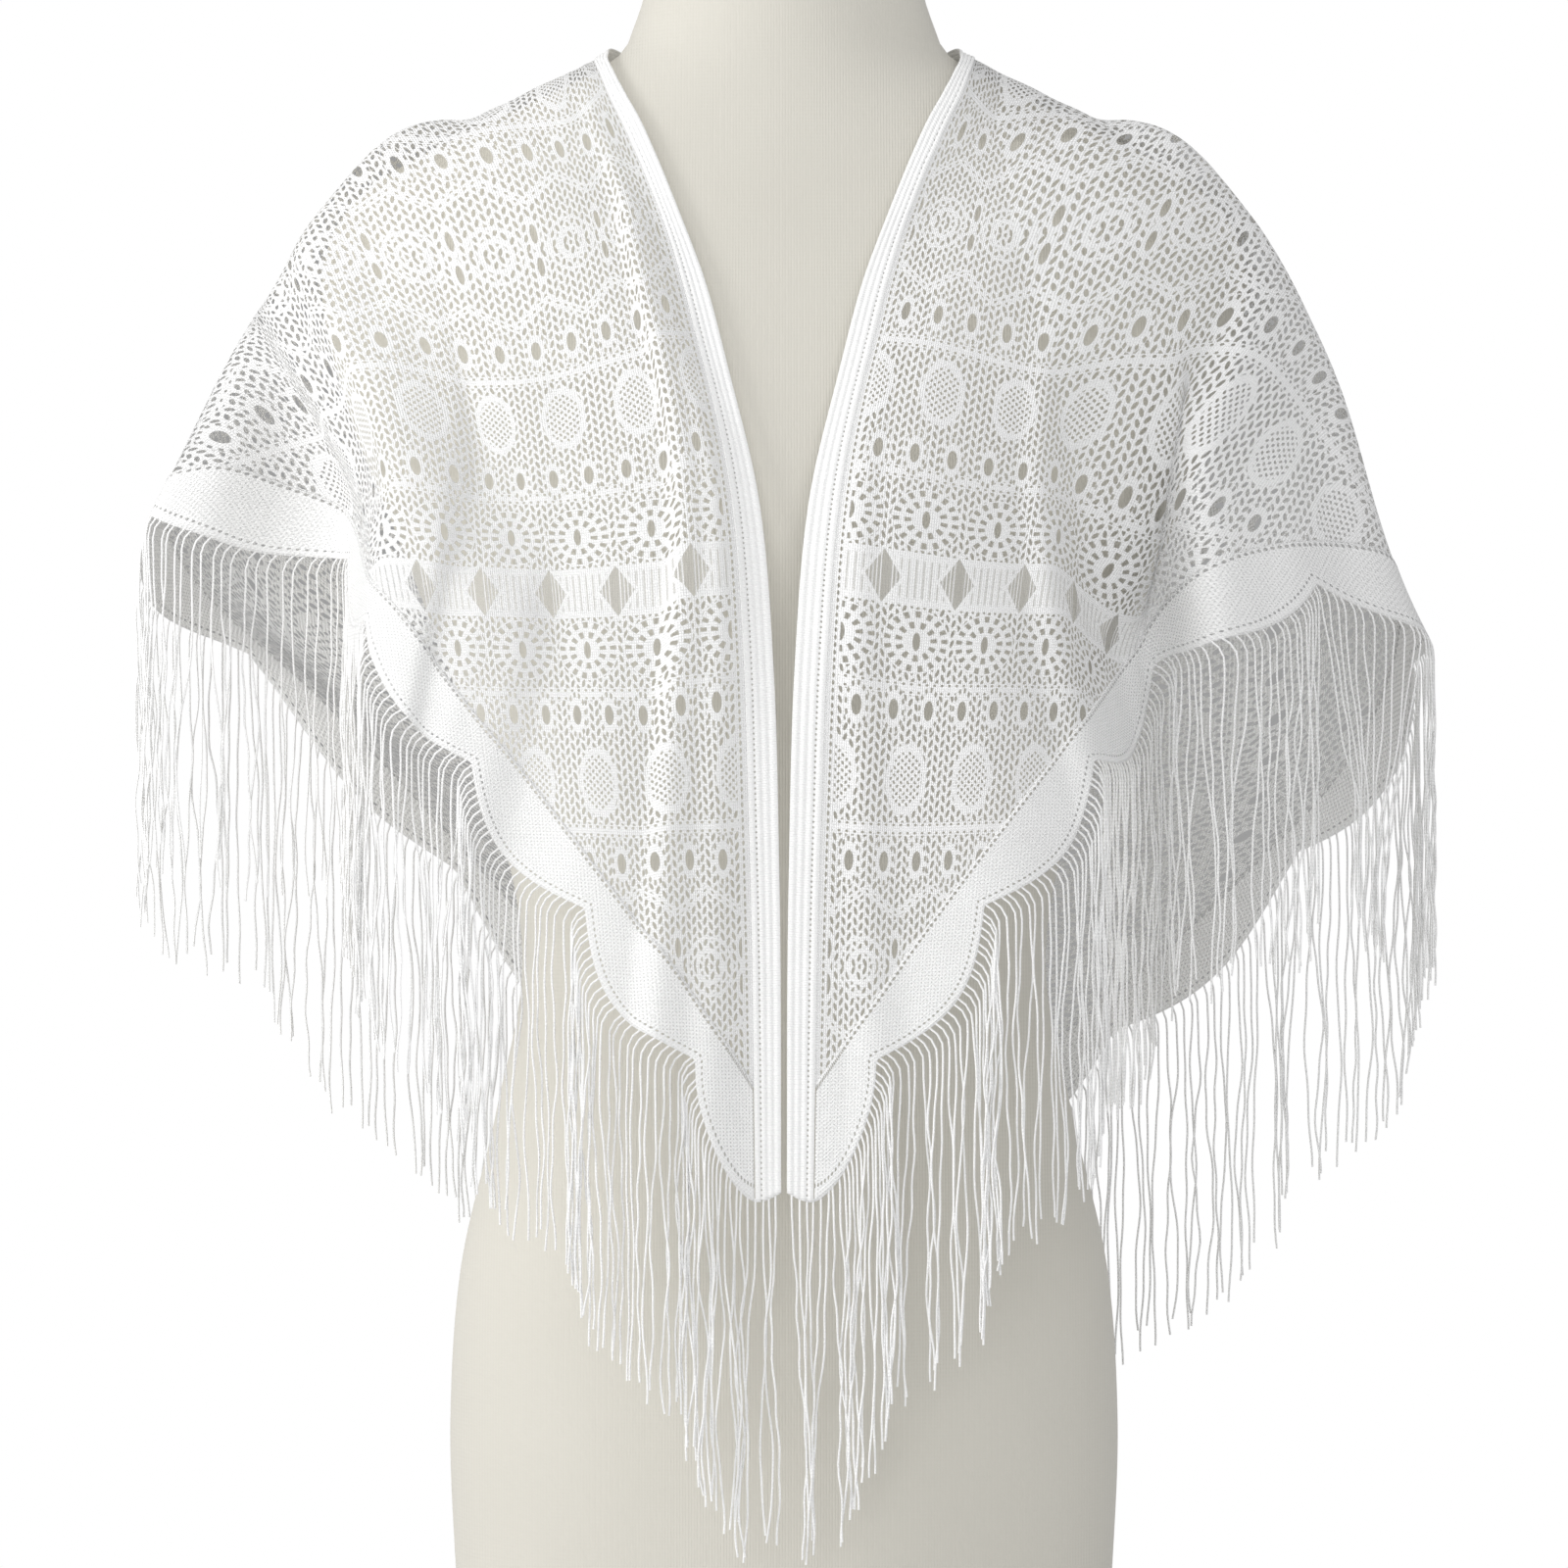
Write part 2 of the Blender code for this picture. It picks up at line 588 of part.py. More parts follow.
def dress_form():
    """Smooth torso from hip to neck, lofted through its level sections."""
    bm = bmesh.new()
    rings = []
    for height, half_width, front, back, squareness in FORM_SECTIONS:
        ring = []
        for k in range(FORM_SIDES):
            angle = 2 * math.pi * k / FORM_SIDES
            c, s = math.cos(angle), math.sin(angle)
            depth = back if s > 0 else front
            x = half_width * math.copysign(abs(c) ** (2 / squareness), c)
            y = depth * math.copysign(abs(s) ** (2 / squareness), s)
            ring.append(bm.verts.new((x, y, height)))
        rings.append(ring)
    for low, high in zip(rings, rings[1:]):
        for k in range(FORM_SIDES):
            n = (k + 1) % FORM_SIDES
            bm.faces.new((low[k], low[n], high[n], high[k]))
    bm.faces.new(rings[0][::-1])
    bm.faces.new(rings[-1])
    add_object("dress_form", bm, FORM)


def flat_run(points):
    return [(float(u), float(v)) for u, v in points]


def split_run(split, offset):
    """The side of a panel along a line between two panels, from the tape to the hem."""
    middle = [split_point(split, share, offset) for share in SPLIT_STATIONS]
    start = (split_at_tape(split, offset), TAPE_SIDE_V)
    return flat_run([start] + middle + [split_at_hem(split, INNER_D - SEAM, offset)])


def hem_run(first, last, low, high):
    """The side of a panel along the border, between two places of the hem."""
    inner = [h for h in HEM_STATIONS if low + LEAST_CELL < h < high - LEAST_CELL]
    return flat_run([first] + [hem_point(h, INNER_D - SEAM) for h in inner] + [last])


def tape_run(first, last):
    """The side of a panel along the tape, in the direction of growing u."""
    stations = sorted({-u for u in NECK_STATIONS} | set(NECK_STATIONS + FRONT_TAPE_STATIONS))
    inner = [u for u in stations if first + LEAST_CELL < u < last - LEAST_CELL]
    return flat_run([(u, TAPE_SIDE_V) for u in [first] + inner + [last]])


def lace_panels():
    """The lace ground: on each side a front and a back panel, and one panel down the middle."""
    holes = hole_places()
    half_seam = SEAM / 2
    tip = flat_run([(LACE_END_U, TAPE_SIDE_V)])[0]
    cut = 0
    front_line = split_run(HEM_SPLIT, -half_seam)
    front = [
        tape_run(front_line[0][0], tip[0]),
        hem_run(tip, front_line[-1], HEM_AT_TAPE, foot_of_split(HEM_SPLIT)),
        front_line[::-1],
    ]
    outer_line = split_run(HEM_SPLIT, half_seam)
    inner_line = split_run(MIDDLE_SPLIT, -half_seam)
    back = [
        outer_line,
        hem_run(outer_line[-1], inner_line[-1], foot_of_split(HEM_SPLIT),
                foot_of_split(MIDDLE_SPLIT)),
        inner_line[::-1],
        tape_run(inner_line[0][0], outer_line[0][0]),
    ]
    for runs, word in ((front, "front"), (back, "back")):
        points, faces, count = lace_cut(runs, holes)
        cut += 2 * count
        for side, half in ((1, "left"), (-1, "right")):
            cloth_wall(f"lace_{half}_{word}", LACE, [(side * u, v) for u, v in points], faces,
                       0.0, LACE_WALL)
    line = split_run(MIDDLE_SPLIT, half_seam)
    point = (0.0, float(hem_point(HEM_LENGTH, INNER_D - SEAM)[1]))
    hem = hem_run(line[-1], point, foot_of_split(MIDDLE_SPLIT), HEM_LENGTH)
    runs = [
        line,
        hem,
        [(-u, v) for u, v in hem[::-1]],
        [(-u, v) for u, v in line[::-1]],
        tape_run(-line[0][0], line[0][0]),
    ]
    both = holes + [(-u, v, size) for u, v, size in holes if u > 0]
    points, faces, count = lace_cut(runs, both)
    cloth_wall("lace_middle_back", LACE, points, faces, 0.0, LACE_WALL)
    return cut + count


def taped_edge():
    """Ribbed selvedge tape: one piece round the neck and one down each front."""
    across = (0.0, TAPE_WIDTH / 3, 2 * TAPE_WIDTH / 3, TAPE_WIDTH)
    walls = (TAPE_WALL, TAPE_RIB, TAPE_WALL, TAPE_RIB)
    stations = NECK_STATIONS + FRONT_TAPE_STATIONS[1:]
    neck = [u for u in stations if u < NECK_TAPE_END]
    front = [u for u in stations if u > NECK_TAPE_END + LEAST_CELL]
    end = NECK_TAPE_END - SEAM / 2
    neck = [-end] + [-u for u in neck[:0:-1]] + neck + [end]
    columns = [[(u, v) for v in across] for u in neck]
    points, faces = strip(columns)
    cloth_wall("neck_tape", TAPE, points, faces, 0.0, np.tile(walls, len(neck)))
    hem_u = [float(hem_point(v * HEM_LENGTH / BACK_DEPTH, edge_of_hem(
        np.array(v * HEM_LENGTH / BACK_DEPTH)))[0]) for v in across]
    rows = [NECK_TAPE_END + SEAM / 2] + front
    for side, name in ((1, "left_front_tape"), (-1, "right_front_tape")):
        columns = [[(side * u, v) for v in across] for u in rows]
        columns.append([(side * u, v) for u, v in zip(hem_u, across)])
        points, faces = strip(columns)
        cloth_wall(name, TAPE, points, faces, 0.0, np.tile(walls, len(columns)))


def hem_columns(stations, side, distances):
    """Rows across the hem at stations along it, at distances worked out from its edge."""
    columns = []
    for h in stations:
        row = [hem_point(h, d) for d in distances(float(edge_of_hem(h)))]
        columns.append([(side * float(u), float(v)) for u, v in row])
    return columns


def across_border(edge):
    return (INNER_D, 0.5 * (INNER_D + edge), edge)


def across_backing(edge):
    return (edge + SEAM, edge + SEAM + BACKING_WIDTH)


def split_column(side, offset):
    """Row across the border where its front and back meet."""
    inner = np.array(split_at_hem(HEM_SPLIT, INNER_D, offset))
    outer = np.array(hem_point(HEM_SPLIT + offset, edge_of_hem(HEM_SPLIT)))
    row = [inner, 0.5 * (inner + outer), outer]
    return [(side * float(u), float(v)) for u, v in row]


def scalloped_border():
    """Dense border knitted along the hem, in two fronts and one back."""
    gap = SEAM / 2
    front = [h for h in HEM_STATIONS if h <= HEM_SPLIT - HEM_CELL / 2]
    back = [h for h in HEM_STATIONS if h >= HEM_SPLIT + HEM_CELL / 2]
    for side, name in ((1, "border_left_front"), (-1, "border_right_front")):
        columns = hem_columns(front, side, across_border) + [split_column(side, -gap)]
        points, faces = strip(columns)
        cloth_wall(name, BORDER, points, faces, 0.0, BORDER_WALL)
    columns = [split_column(1, gap)] + hem_columns(back, 1, across_border)
    columns += hem_columns(back[-2::-1], -1, across_border) + [split_column(-1, gap)]
    points, faces = strip(columns)
    cloth_wall("border_back", BORDER, points, faces, 0.0, BORDER_WALL)


def hang(bm, root, leave, index):
    """One hanging strand that ends in a point, rooted inside its backing strip."""
    sway = SWAY * math.sin(SWAY_TURN * index)
    length = STRAND_LENGTH * (1 + LENGTH_SPREAD * math.sin(LENGTH_TURN * index))
    bend = root + LEAVE_REACH * leave + np.array([0.0, 0.0, -LEAVE_DROP])
    tip = bend + np.array([sway, SWAY_BACK * sway, LEAVE_LENGTH - length])
    rings = []
    for at in (root, bend):
        ring = []
        for k in range(STRAND_SIDES):
            angle = 2 * math.pi * k / STRAND_SIDES + math.pi / 2
            shift = STRAND_RADIUS * np.array([math.cos(angle), math.sin(angle), 0.0])
            ring.append(bm.verts.new(at + shift))
        rings.append(ring)
    end = bm.verts.new(tip)
    for k in range(STRAND_SIDES):
        n = (k + 1) % STRAND_SIDES
        bm.faces.new((rings[0][k], rings[0][n], rings[1][n], rings[1][k]))
        bm.faces.new((rings[1][k], rings[1][n], end))
    bm.faces.new(rings[0][::-1])


def strand_roots(side, stations):
    """Root and leaving direction of each strand of a stretch, evenly along its backing."""
    rows = np.array(hem_columns(stations, 1, across_backing))
    lift = 0.5 * BORDER_WALL * outward(side, rows[..., 0], rows[..., 1])
    near, far = np.moveaxis(place(side, rows[..., 0], rows[..., 1]) + lift, 1, 0)
    middle = 0.5 * (near + far)
    along = np.concatenate([[0.0], np.cumsum(np.linalg.norm(np.diff(middle, axis=0), axis=1))])
    count = int(along[-1] / STRAND_SPACING)
    roots = []
    for k in range(count):
        at = (k + 0.5) * along[-1] / count
        root = np.array([np.interp(at, along, middle[:, axis]) for axis in range(3)])
        leave = np.array([np.interp(at, along, (far - near)[:, axis]) for axis in range(3)])
        roots.append((root, leave / np.linalg.norm(leave)))
    return roots


def fringe():
    """Fringe in three stretches on each half, strands fused into a narrow backing strip."""
    hung = []
    first = [0.33 * HEM_AT_TAPE, 0.66 * HEM_AT_TAPE]
    for side, word in ((1, "left"), (-1, "right")):
        for span, low, high in FRINGE_SPANS:
            start = low * HEM_LENGTH + SEAM / 2
            stop = high * HEM_LENGTH - SEAM / 2
            inner = [h for h in first + HEM_STATIONS
                     if start + LEAST_CELL < h < stop - LEAST_CELL]
            stations = [start] + inner + [stop]
            points, faces = strip(hem_columns(stations, side, across_backing))
            middle = 0.5 * BORDER_WALL
            backing = cloth_wall(f"fringe_{word}_{span}", FRINGE, points, faces,
                                 middle - 0.5 * BACKING_WALL, middle + 0.5 * BACKING_WALL)
            bm = bmesh.new()
            for index, (root, leave) in enumerate(strand_roots(side, stations)):
                close = [at for at in hung if np.linalg.norm((at - root)[:2]) < STRAND_GAP]
                if not close and abs(root[0]) > STRAND_GAP / 2:
                    hang(bm, root, leave, index)
                    hung.append(root)
            strands = add_object(f"strands_{word}_{span}", bm, FRINGE, GUIDES)
            strands.hide_render = True
            strands.display_type = "WIRE"
            joined = backing.modifiers.new("strands", "BOOLEAN")
            joined.operation = "UNION"
            joined.solver = "MANIFOLD"
            joined.object = strands
    return len(hung)


dress_form()
HOLES_CUT = lace_panels()
taped_edge()
scalloped_border()
STRANDS_HUNG = fringe()
print("holes cut:", HOLES_CUT, "strands:", STRANDS_HUNG)
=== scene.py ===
"""White lace triangle shawl with a long fringe, draped over a limbless ivory dress form.

Metres, +Z up. The wearer faces -Y and the wearer's left side is at +X. The shawl is cut as two
right-angled halves that meet down the middle of the back. A point of the cut is named by u, its
distance along the taped long edge from the nape (below 0 on the wearer's right), and v, its
distance from that edge.
"""

import math

import bpy
import numpy as np
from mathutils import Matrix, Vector


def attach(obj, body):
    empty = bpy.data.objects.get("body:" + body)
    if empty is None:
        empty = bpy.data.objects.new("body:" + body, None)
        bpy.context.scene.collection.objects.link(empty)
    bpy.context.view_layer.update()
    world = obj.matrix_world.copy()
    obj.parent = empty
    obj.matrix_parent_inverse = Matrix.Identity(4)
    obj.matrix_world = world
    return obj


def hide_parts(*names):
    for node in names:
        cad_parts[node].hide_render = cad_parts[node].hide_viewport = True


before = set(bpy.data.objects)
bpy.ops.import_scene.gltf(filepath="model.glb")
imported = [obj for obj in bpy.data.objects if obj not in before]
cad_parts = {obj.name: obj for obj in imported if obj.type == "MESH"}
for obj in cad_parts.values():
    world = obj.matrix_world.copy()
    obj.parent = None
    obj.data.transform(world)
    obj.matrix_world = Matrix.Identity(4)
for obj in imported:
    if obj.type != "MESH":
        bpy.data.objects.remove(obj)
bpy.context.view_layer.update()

# Camera at the height of the waist, level and square to the front, with a long lens.
CAMERA_LENS = 150.0
CAMERA_SENSOR = 36.0
CAMERA_PLACE = (0.0, -3.0, 0.45)
camera = bpy.data.objects.new("camera", bpy.data.cameras.new("camera"))
camera.data.lens = CAMERA_LENS
camera.data.sensor_width = CAMERA_SENSOR
camera.location = CAMERA_PLACE
camera.rotation_euler = (math.radians(90), 0.0, 0.0)
bpy.context.scene.collection.objects.link(camera)
bpy.context.scene.camera = camera

# Dress form. A moulded torso without limbs, covered in thin ivory jersey that shows fine
# upright ribs. Each row is a level section: height, half width, depth to the front, depth to
# the back, squareness.
FORM_SECTIONS = np.array([
    (0.000, 0.1460, 0.100, 0.108, 2.2),
    (0.080, 0.1500, 0.105, 0.115, 2.2),
    (0.160, 0.1530, 0.108, 0.118, 2.2),
    (0.230, 0.1480, 0.104, 0.108, 2.2),
    (0.300, 0.1320, 0.094, 0.090, 2.1),
    (0.370, 0.1200, 0.087, 0.080, 2.1),
    (0.440, 0.1330, 0.094, 0.086, 2.1),
    (0.500, 0.1530, 0.109, 0.096, 2.1),
    (0.560, 0.1760, 0.119, 0.104, 2.2),
    (0.610, 0.1960, 0.112, 0.108, 2.2),
    (0.650, 0.2080, 0.099, 0.106, 2.2),
    (0.680, 0.2120, 0.088, 0.101, 2.1),
    (0.700, 0.2080, 0.081, 0.096, 2.0),
    (0.715, 0.1990, 0.076, 0.091, 1.9),
    (0.730, 0.1810, 0.071, 0.085, 1.8),
    (0.750, 0.1430, 0.064, 0.076, 1.8),
    (0.768, 0.1040, 0.059, 0.069, 1.9),
    (0.782, 0.0780, 0.056, 0.064, 2.0),
    (0.800, 0.0680, 0.053, 0.060, 2.0),
    (0.830, 0.0610, 0.050, 0.056, 2.0),
    (0.860, 0.0575, 0.048, 0.054, 2.0),
    (0.874, 0.0540, 0.045, 0.051, 2.0),
])
FORM_SIDES = 144
FORM_STEP = 0.006
FORM_IVORY = (0.640, 0.620, 0.560, 1.0)
FORM_SHADE = (0.570, 0.550, 0.492, 1.0)
JERSEY_RIB = 0.0013


class Socket:
    """A node's output. Sums, products and comparisons of it become Math nodes."""

    def __init__(self, finish, output):
        self.finish = finish
        self.output = output

    def math(self, operation, *values):
        return self.finish.node("ShaderNodeMath", {"operation": operation}, dict(enumerate(values)))

    def __add__(self, other):
        return self.math("ADD", self, other)

    __radd__ = __add__

    def __sub__(self, other):
        return self.math("SUBTRACT", self, other)

    def __rsub__(self, other):
        return self.math("SUBTRACT", other, self)

    def __mul__(self, other):
        return self.math("MULTIPLY", self, other)

    __rmul__ = __mul__

    def __truediv__(self, other):
        return self.math("DIVIDE", self, other)

    def __abs__(self):
        return self.math("ABSOLUTE", self)

    def lower(self, other):
        return self.math("MINIMUM", self, other)

    def higher(self, other):
        return self.math("MAXIMUM", self, other)

    def sine(self):
        return self.math("SINE", self)

    def under(self, limit, blur):
        """1 below a limit and 0 above it, with a soft step between them."""
        ramp = self.math("MULTIPLY_ADD", self, -1 / blur, limit / blur + 0.5)
        ramp.output.node.use_clamp = True
        return ramp


class Finish:
    """A material, its shader and the nodes that feed it."""

    def __init__(self, name, roughness):
        self.material = bpy.data.materials.new(name)
        self.material.use_nodes = True
        self.tree = self.material.node_tree
        self.shader = self.tree.nodes["Principled BSDF"]
        self.shader.inputs["Roughness"].default_value = roughness

    def node(self, kind, settings=None, sockets=None, output=0):
        made = self.tree.nodes.new(kind)
        for name, value in (settings or {}).items():
            setattr(made, name, value)
        for name, value in (sockets or {}).items():
            self.feed(made.inputs[name], value)
        return Socket(self, made.outputs[output])

    def feed(self, target, value):
        if isinstance(value, Socket):
            self.tree.links.new(value.output, target)
        else:
            target.default_value = value

    def cut_out(self, holes):
        """Makes holes in the yarn. Some light passes the yarn itself, so its shadow is weaker."""
        shadow = self.node("ShaderNodeLightPath", output="Is Shadow Ray")
        self.feed(self.shader.inputs["Alpha"], (1 - holes) * (1 - shadow * SHINE_THROUGH))

    def parts(self, vector):
        """The three numbers of a vector."""
        return [self.node("ShaderNodeSeparateXYZ", None, {0: vector}, k) for k in range(3)]

    def noise(self, vector, scale, detail=2.0):
        return self.node("ShaderNodeTexNoise", None,
                         {"Vector": vector, "Scale": scale, "Detail": detail})

    def colours(self, factor, low, high):
        return self.node("ShaderNodeMix", {"data_type": "RGBA"},
                         {0: factor, 6: low, 7: high}, 2)

    def relief(self, height, distance, strength=1.0):
        bump = self.node("ShaderNodeBump", None,
                         {"Height": height, "Distance": distance, "Strength": strength})
        self.feed(self.shader.inputs["Normal"], bump)


def through(knots, rows, at):
    """Smooth curve through the rows of a table, read at places along it."""
    knots = np.asarray(knots, float)
    rows = np.asarray(rows, float)
    at = np.asarray(at, float)
    slopes = np.gradient(rows, knots, axis=0)
    first = np.clip(np.searchsorted(knots, at, side="right") - 1, 0, len(knots) - 2)
    span = knots[first + 1] - knots[first]
    t = (at - knots[first]) / span
    shape = t.shape + (1,) * (rows.ndim - 1)
    t = t.reshape(shape)
    span = span.reshape(shape)
    inside = np.clip(t, 0.0, 1.0)
    beyond = (t - inside) * span
    value = (
        (2 * inside**3 - 3 * inside**2 + 1) * rows[first]
        + (inside**3 - 2 * inside**2 + inside) * span * slopes[first]
        + (3 * inside**2 - 2 * inside**3) * rows[first + 1]
        + (inside**3 - inside**2) * span * slopes[first + 1]
    )
    return value + beyond * np.where(t > 0.5, slopes[first + 1], slopes[first])


def add_mesh(name, points, faces, material):
    mesh = bpy.data.meshes.new(name)
    mesh.from_pydata(np.asarray(points).tolist(), [], faces)
    mesh.materials.append(material)
    mesh.shade_smooth()
    made = bpy.data.objects.new(name, mesh)
    bpy.context.scene.collection.objects.link(made)
    return made


def grid_faces(rows, columns, closed=False):
    """Quads of a grid of points, row by row, round on itself if it is closed."""
    faces = []
    for i in range(rows - 1):
        for j in range(columns if closed else columns - 1):
            n = (j + 1) % columns
            low, high = i * columns, (i + 1) * columns
            faces.append((low + j, low + n, high + n, high + j))
    return faces


top_of_form = FORM_SECTIONS[-1, 0]
levels = np.linspace(0.0, top_of_form, int(top_of_form / FORM_STEP) + 1)
sections = through(FORM_SECTIONS[:, 0], FORM_SECTIONS[:, 1:], levels)
turn = 2 * math.pi * np.arange(FORM_SIDES) / FORM_SIDES
form_points = []
for level, (half_width, front, back, squareness) in zip(levels, sections):
    depth = np.where(np.sin(turn) > 0, back, front)
    power = 2 / squareness
    x = half_width * np.sign(np.cos(turn)) * np.abs(np.cos(turn)) ** power
    y = depth * np.sign(np.sin(turn)) * np.abs(np.sin(turn)) ** power
    form_points += np.stack([x, y, np.full(FORM_SIDES, level)], axis=1).tolist()
form_faces = grid_faces(len(levels), FORM_SIDES, closed=True)
form_faces.append(tuple(range(FORM_SIDES - 1, -1, -1)))
form_faces.append(tuple(range((len(levels) - 1) * FORM_SIDES, len(levels) * FORM_SIDES)))

jersey = Finish("ivory_jersey", 0.78)
jersey.shader.inputs["Sheen Weight"].default_value = 0.15
at = jersey.node("ShaderNodeTexCoord", output="Object")
x, y, z = jersey.parts(at)
ribs = ((x * (2 * math.pi / JERSEY_RIB)).sine() + 1) * 0.5
courses = ((z * (2 * math.pi / JERSEY_RIB * 0.7)).sine() + 1) * 0.5
mottle = jersey.noise(at, 9.0, 3.0)
jersey.feed(jersey.shader.inputs["Base Color"],
            jersey.colours(mottle * 0.75 + ribs * 0.15, FORM_IVORY, FORM_SHADE))
jersey.relief(ribs * 0.7 + courses * 0.3 + jersey.noise(at, 900.0) * 0.4, 0.00012)

form = add_mesh("form_cover", form_points, form_faces, jersey.material)
form.data.set_sharp_from_angle(angle=math.radians(50))
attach(form, "root")
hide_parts("dress_form")

# Lace ground. Machine-knitted white lace, one triangle with its long edge round the neck. The
# drape gives each point of the cut its place over the form: rings of cloth, each at one share
# of the way from the nape to the hem, pass the chest, the arm, the side and the back.
EDGE_LENGTH = 0.649
BACK_DEPTH = 0.440
HEM_LENGTH = math.hypot(EDGE_LENGTH, BACK_DEPTH)
TAPE_WIDTH = 0.012
BORDER_WIDTH = 0.025
REST_GAP = 0.0037
REST_SOFTNESS = 0.0030
# u, x, y, z of the taped edge of the wearer's left half
TAPE_LINE = np.array([
    (0.000, 0.0000, 0.088, 0.752),
    (0.040, 0.0450, 0.070, 0.771),
    (0.089, 0.0765, 0.004, 0.785),
    (0.138, 0.0605, -0.045, 0.742),
    (0.178, 0.0450, -0.071, 0.700),
    (0.213, 0.0350, -0.087, 0.672),
    (0.261, 0.0240, -0.105, 0.630),
    (0.323, 0.0115, -0.123, 0.577),
    (0.408, 0.0045, -0.133, 0.497),
    (0.498, 0.0020, -0.135, 0.407),
    (0.649, 0.0012, -0.134, 0.2565),
])
# share of the way to the hem; chest, arm, front of the side lobe, side, blade, middle back
LAST_COLUMN = 6
RINGS = (
    (0.15, (0.084, 0.022, 0.776), (0.083, 0.048, 0.757), (0.078, 0.066, 0.738),
     (0.068, 0.080, 0.722), (0.036, 0.097, 0.692), (0.0, 0.104, 0.675)),
    (0.35, (0.078, -0.075, 0.703), (0.125, -0.040, 0.741), (0.145, -0.018, 0.747),
     (0.160, 0.010, 0.747), (0.115, 0.092, 0.665), (0.0, 0.124, 0.572)),
    (0.55, (0.055, -0.124, 0.590), (0.112, -0.095, 0.636), (0.175, -0.050, 0.690),
     (0.214, 0.004, 0.704), (0.175, 0.100, 0.575), (0.0, 0.135, 0.468)),
    (0.75, (0.060, -0.131, 0.484), (0.115, -0.112, 0.548), (0.180, -0.058, 0.617),
     (0.256, 0.008, 0.634), (0.218, 0.106, 0.480), (0.0, 0.142, 0.365)),
    (1.00, (0.070, -0.131, 0.360), (0.136, -0.113, 0.449), (0.192, -0.060, 0.522),
     (0.298, 0.012, 0.548), (0.250, 0.108, 0.415), (0.0, 0.149, 0.236)),
)
# Folds of each half, the wearer's left at 1. Place counts ring columns, from the tape at 0 to
# the middle of the back at 6; a fold moves the cloth forward, outward and up.
FOLD_COLUMNS = ("side", "start_at", "hem_at", "rise", "fall", "grows_from", "grows_to",
                "forward", "outward", "up")
FOLDS = (
    (-1, 3.90, 2.78, 1.30, 0.36, 0.48, 0.85, 0.046, 0.004, 0.000),
    (-1, 4.30, 3.16, 0.30, 0.80, 0.55, 0.95, -0.058, 0.000, 0.022),
    (-1, 4.10, 4.05, 0.85, 1.00, 0.60, 1.00, 0.000, -0.004, 0.020),
    (-1, 5.00, 5.05, 1.00, 0.95, 0.60, 1.00, 0.000, 0.000, 0.088),
    (-1, 1.10, 1.25, 0.90, 0.90, 0.55, 0.85, 0.012, 0.000, 0.000),
    (-1, 0.80, 0.70, 0.70, 0.30, 0.12, 0.24, 0.008, 0.004, 0.009),
    (1, 2.75, 2.58, 0.60, 0.42, 0.50, 0.90, -0.050, 0.000, -0.006),
    (1, 3.80, 3.10, 0.40, 0.60, 0.50, 0.85, 0.020, 0.002, 0.000),
    (1, 1.30, 1.45, 0.80, 0.70, 0.60, 1.00, 0.008, 0.000, 0.000),
    (1, 4.00, 3.80, 0.85, 0.90, 0.70, 1.00, 0.000, -0.010, -0.022),
    (1, 5.55, 5.60, 0.60, 0.40, 0.70, 1.00, 0.000, 0.000, -0.026),
    (-1, 4.90, 4.85, 0.45, 0.40, 0.45, 0.95, -0.014, 0.004, 0.000),
    (-1, 5.55, 5.50, 0.35, 0.30, 0.55, 1.00, -0.011, 0.000, 0.000),
    (1, 4.80, 4.70, 0.40, 0.45, 0.50, 1.00, -0.016, 0.003, 0.000),
    (1, 5.45, 5.45, 0.30, 0.38, 0.50, 0.95, -0.010, 0.000, 0.000),
)
# Small creases laid over the folds, in the same columns
CREASES = (
    (-1, 0.45, 0.40, 0.22, 0.18, 0.30, 0.55, 0.0030, 0.000, 0.000),
    (-1, 2.05, 1.95, 0.25, 0.30, 0.45, 0.80, 0.0035, 0.000, 0.000),
    (-1, 2.95, 2.35, 0.20, 0.16, 0.35, 0.70, -0.0040, 0.001, 0.000),
    (-1, 3.70, 3.60, 0.22, 0.22, 0.60, 1.00, 0.0040, 0.000, 0.002),
    (1, 0.50, 0.55, 0.20, 0.26, 0.35, 0.60, 0.0025, 0.000, 0.000),
    (1, 2.10, 2.02, 0.20, 0.18, 0.40, 0.75, 0.0045, 0.000, 0.000),
    (1, 2.45, 2.36, 0.16, 0.14, 0.45, 0.80, -0.0050, 0.000, 0.000),
    (1, 3.45, 3.42, 0.20, 0.22, 0.65, 1.00, 0.0045, 0.000, 0.000),
    (1, 4.20, 4.20, 0.22, 0.20, 0.65, 1.00, -0.0040, 0.001, 0.000),
)
EVEN_SHARE = 0.35
STRETCH_POWER = {-1: 1.75, 1: 1.10}
FURTHEST_SHARE = 1.06
SHARE_STEPS = 220
RING_STEPS = 720
NORMAL_REACH = 0.003


def ease(x):
    x = np.clip(x, 0.0, 1.0)
    return x * x * (3 - 2 * x)


def form_level(points):
    """0 on the form's surface, less inside it and more outside it."""
    x, y, z = points[..., 0], points[..., 1], points[..., 2]
    height = np.clip(z.ravel(), FORM_SECTIONS[0, 0], FORM_SECTIONS[-1, 0])
    section = through(FORM_SECTIONS[:, 0], FORM_SECTIONS[:, 1:], height).reshape(z.shape + (4,))
    half_width, front, back, squareness = (section[..., k] for k in range(4))
    depth = np.where(y < 0, front, back)
    total = (np.abs(x) / half_width) ** squareness + (np.abs(y) / depth) ** squareness
    return np.maximum(total, 1e-9) ** (1 / squareness) - 1


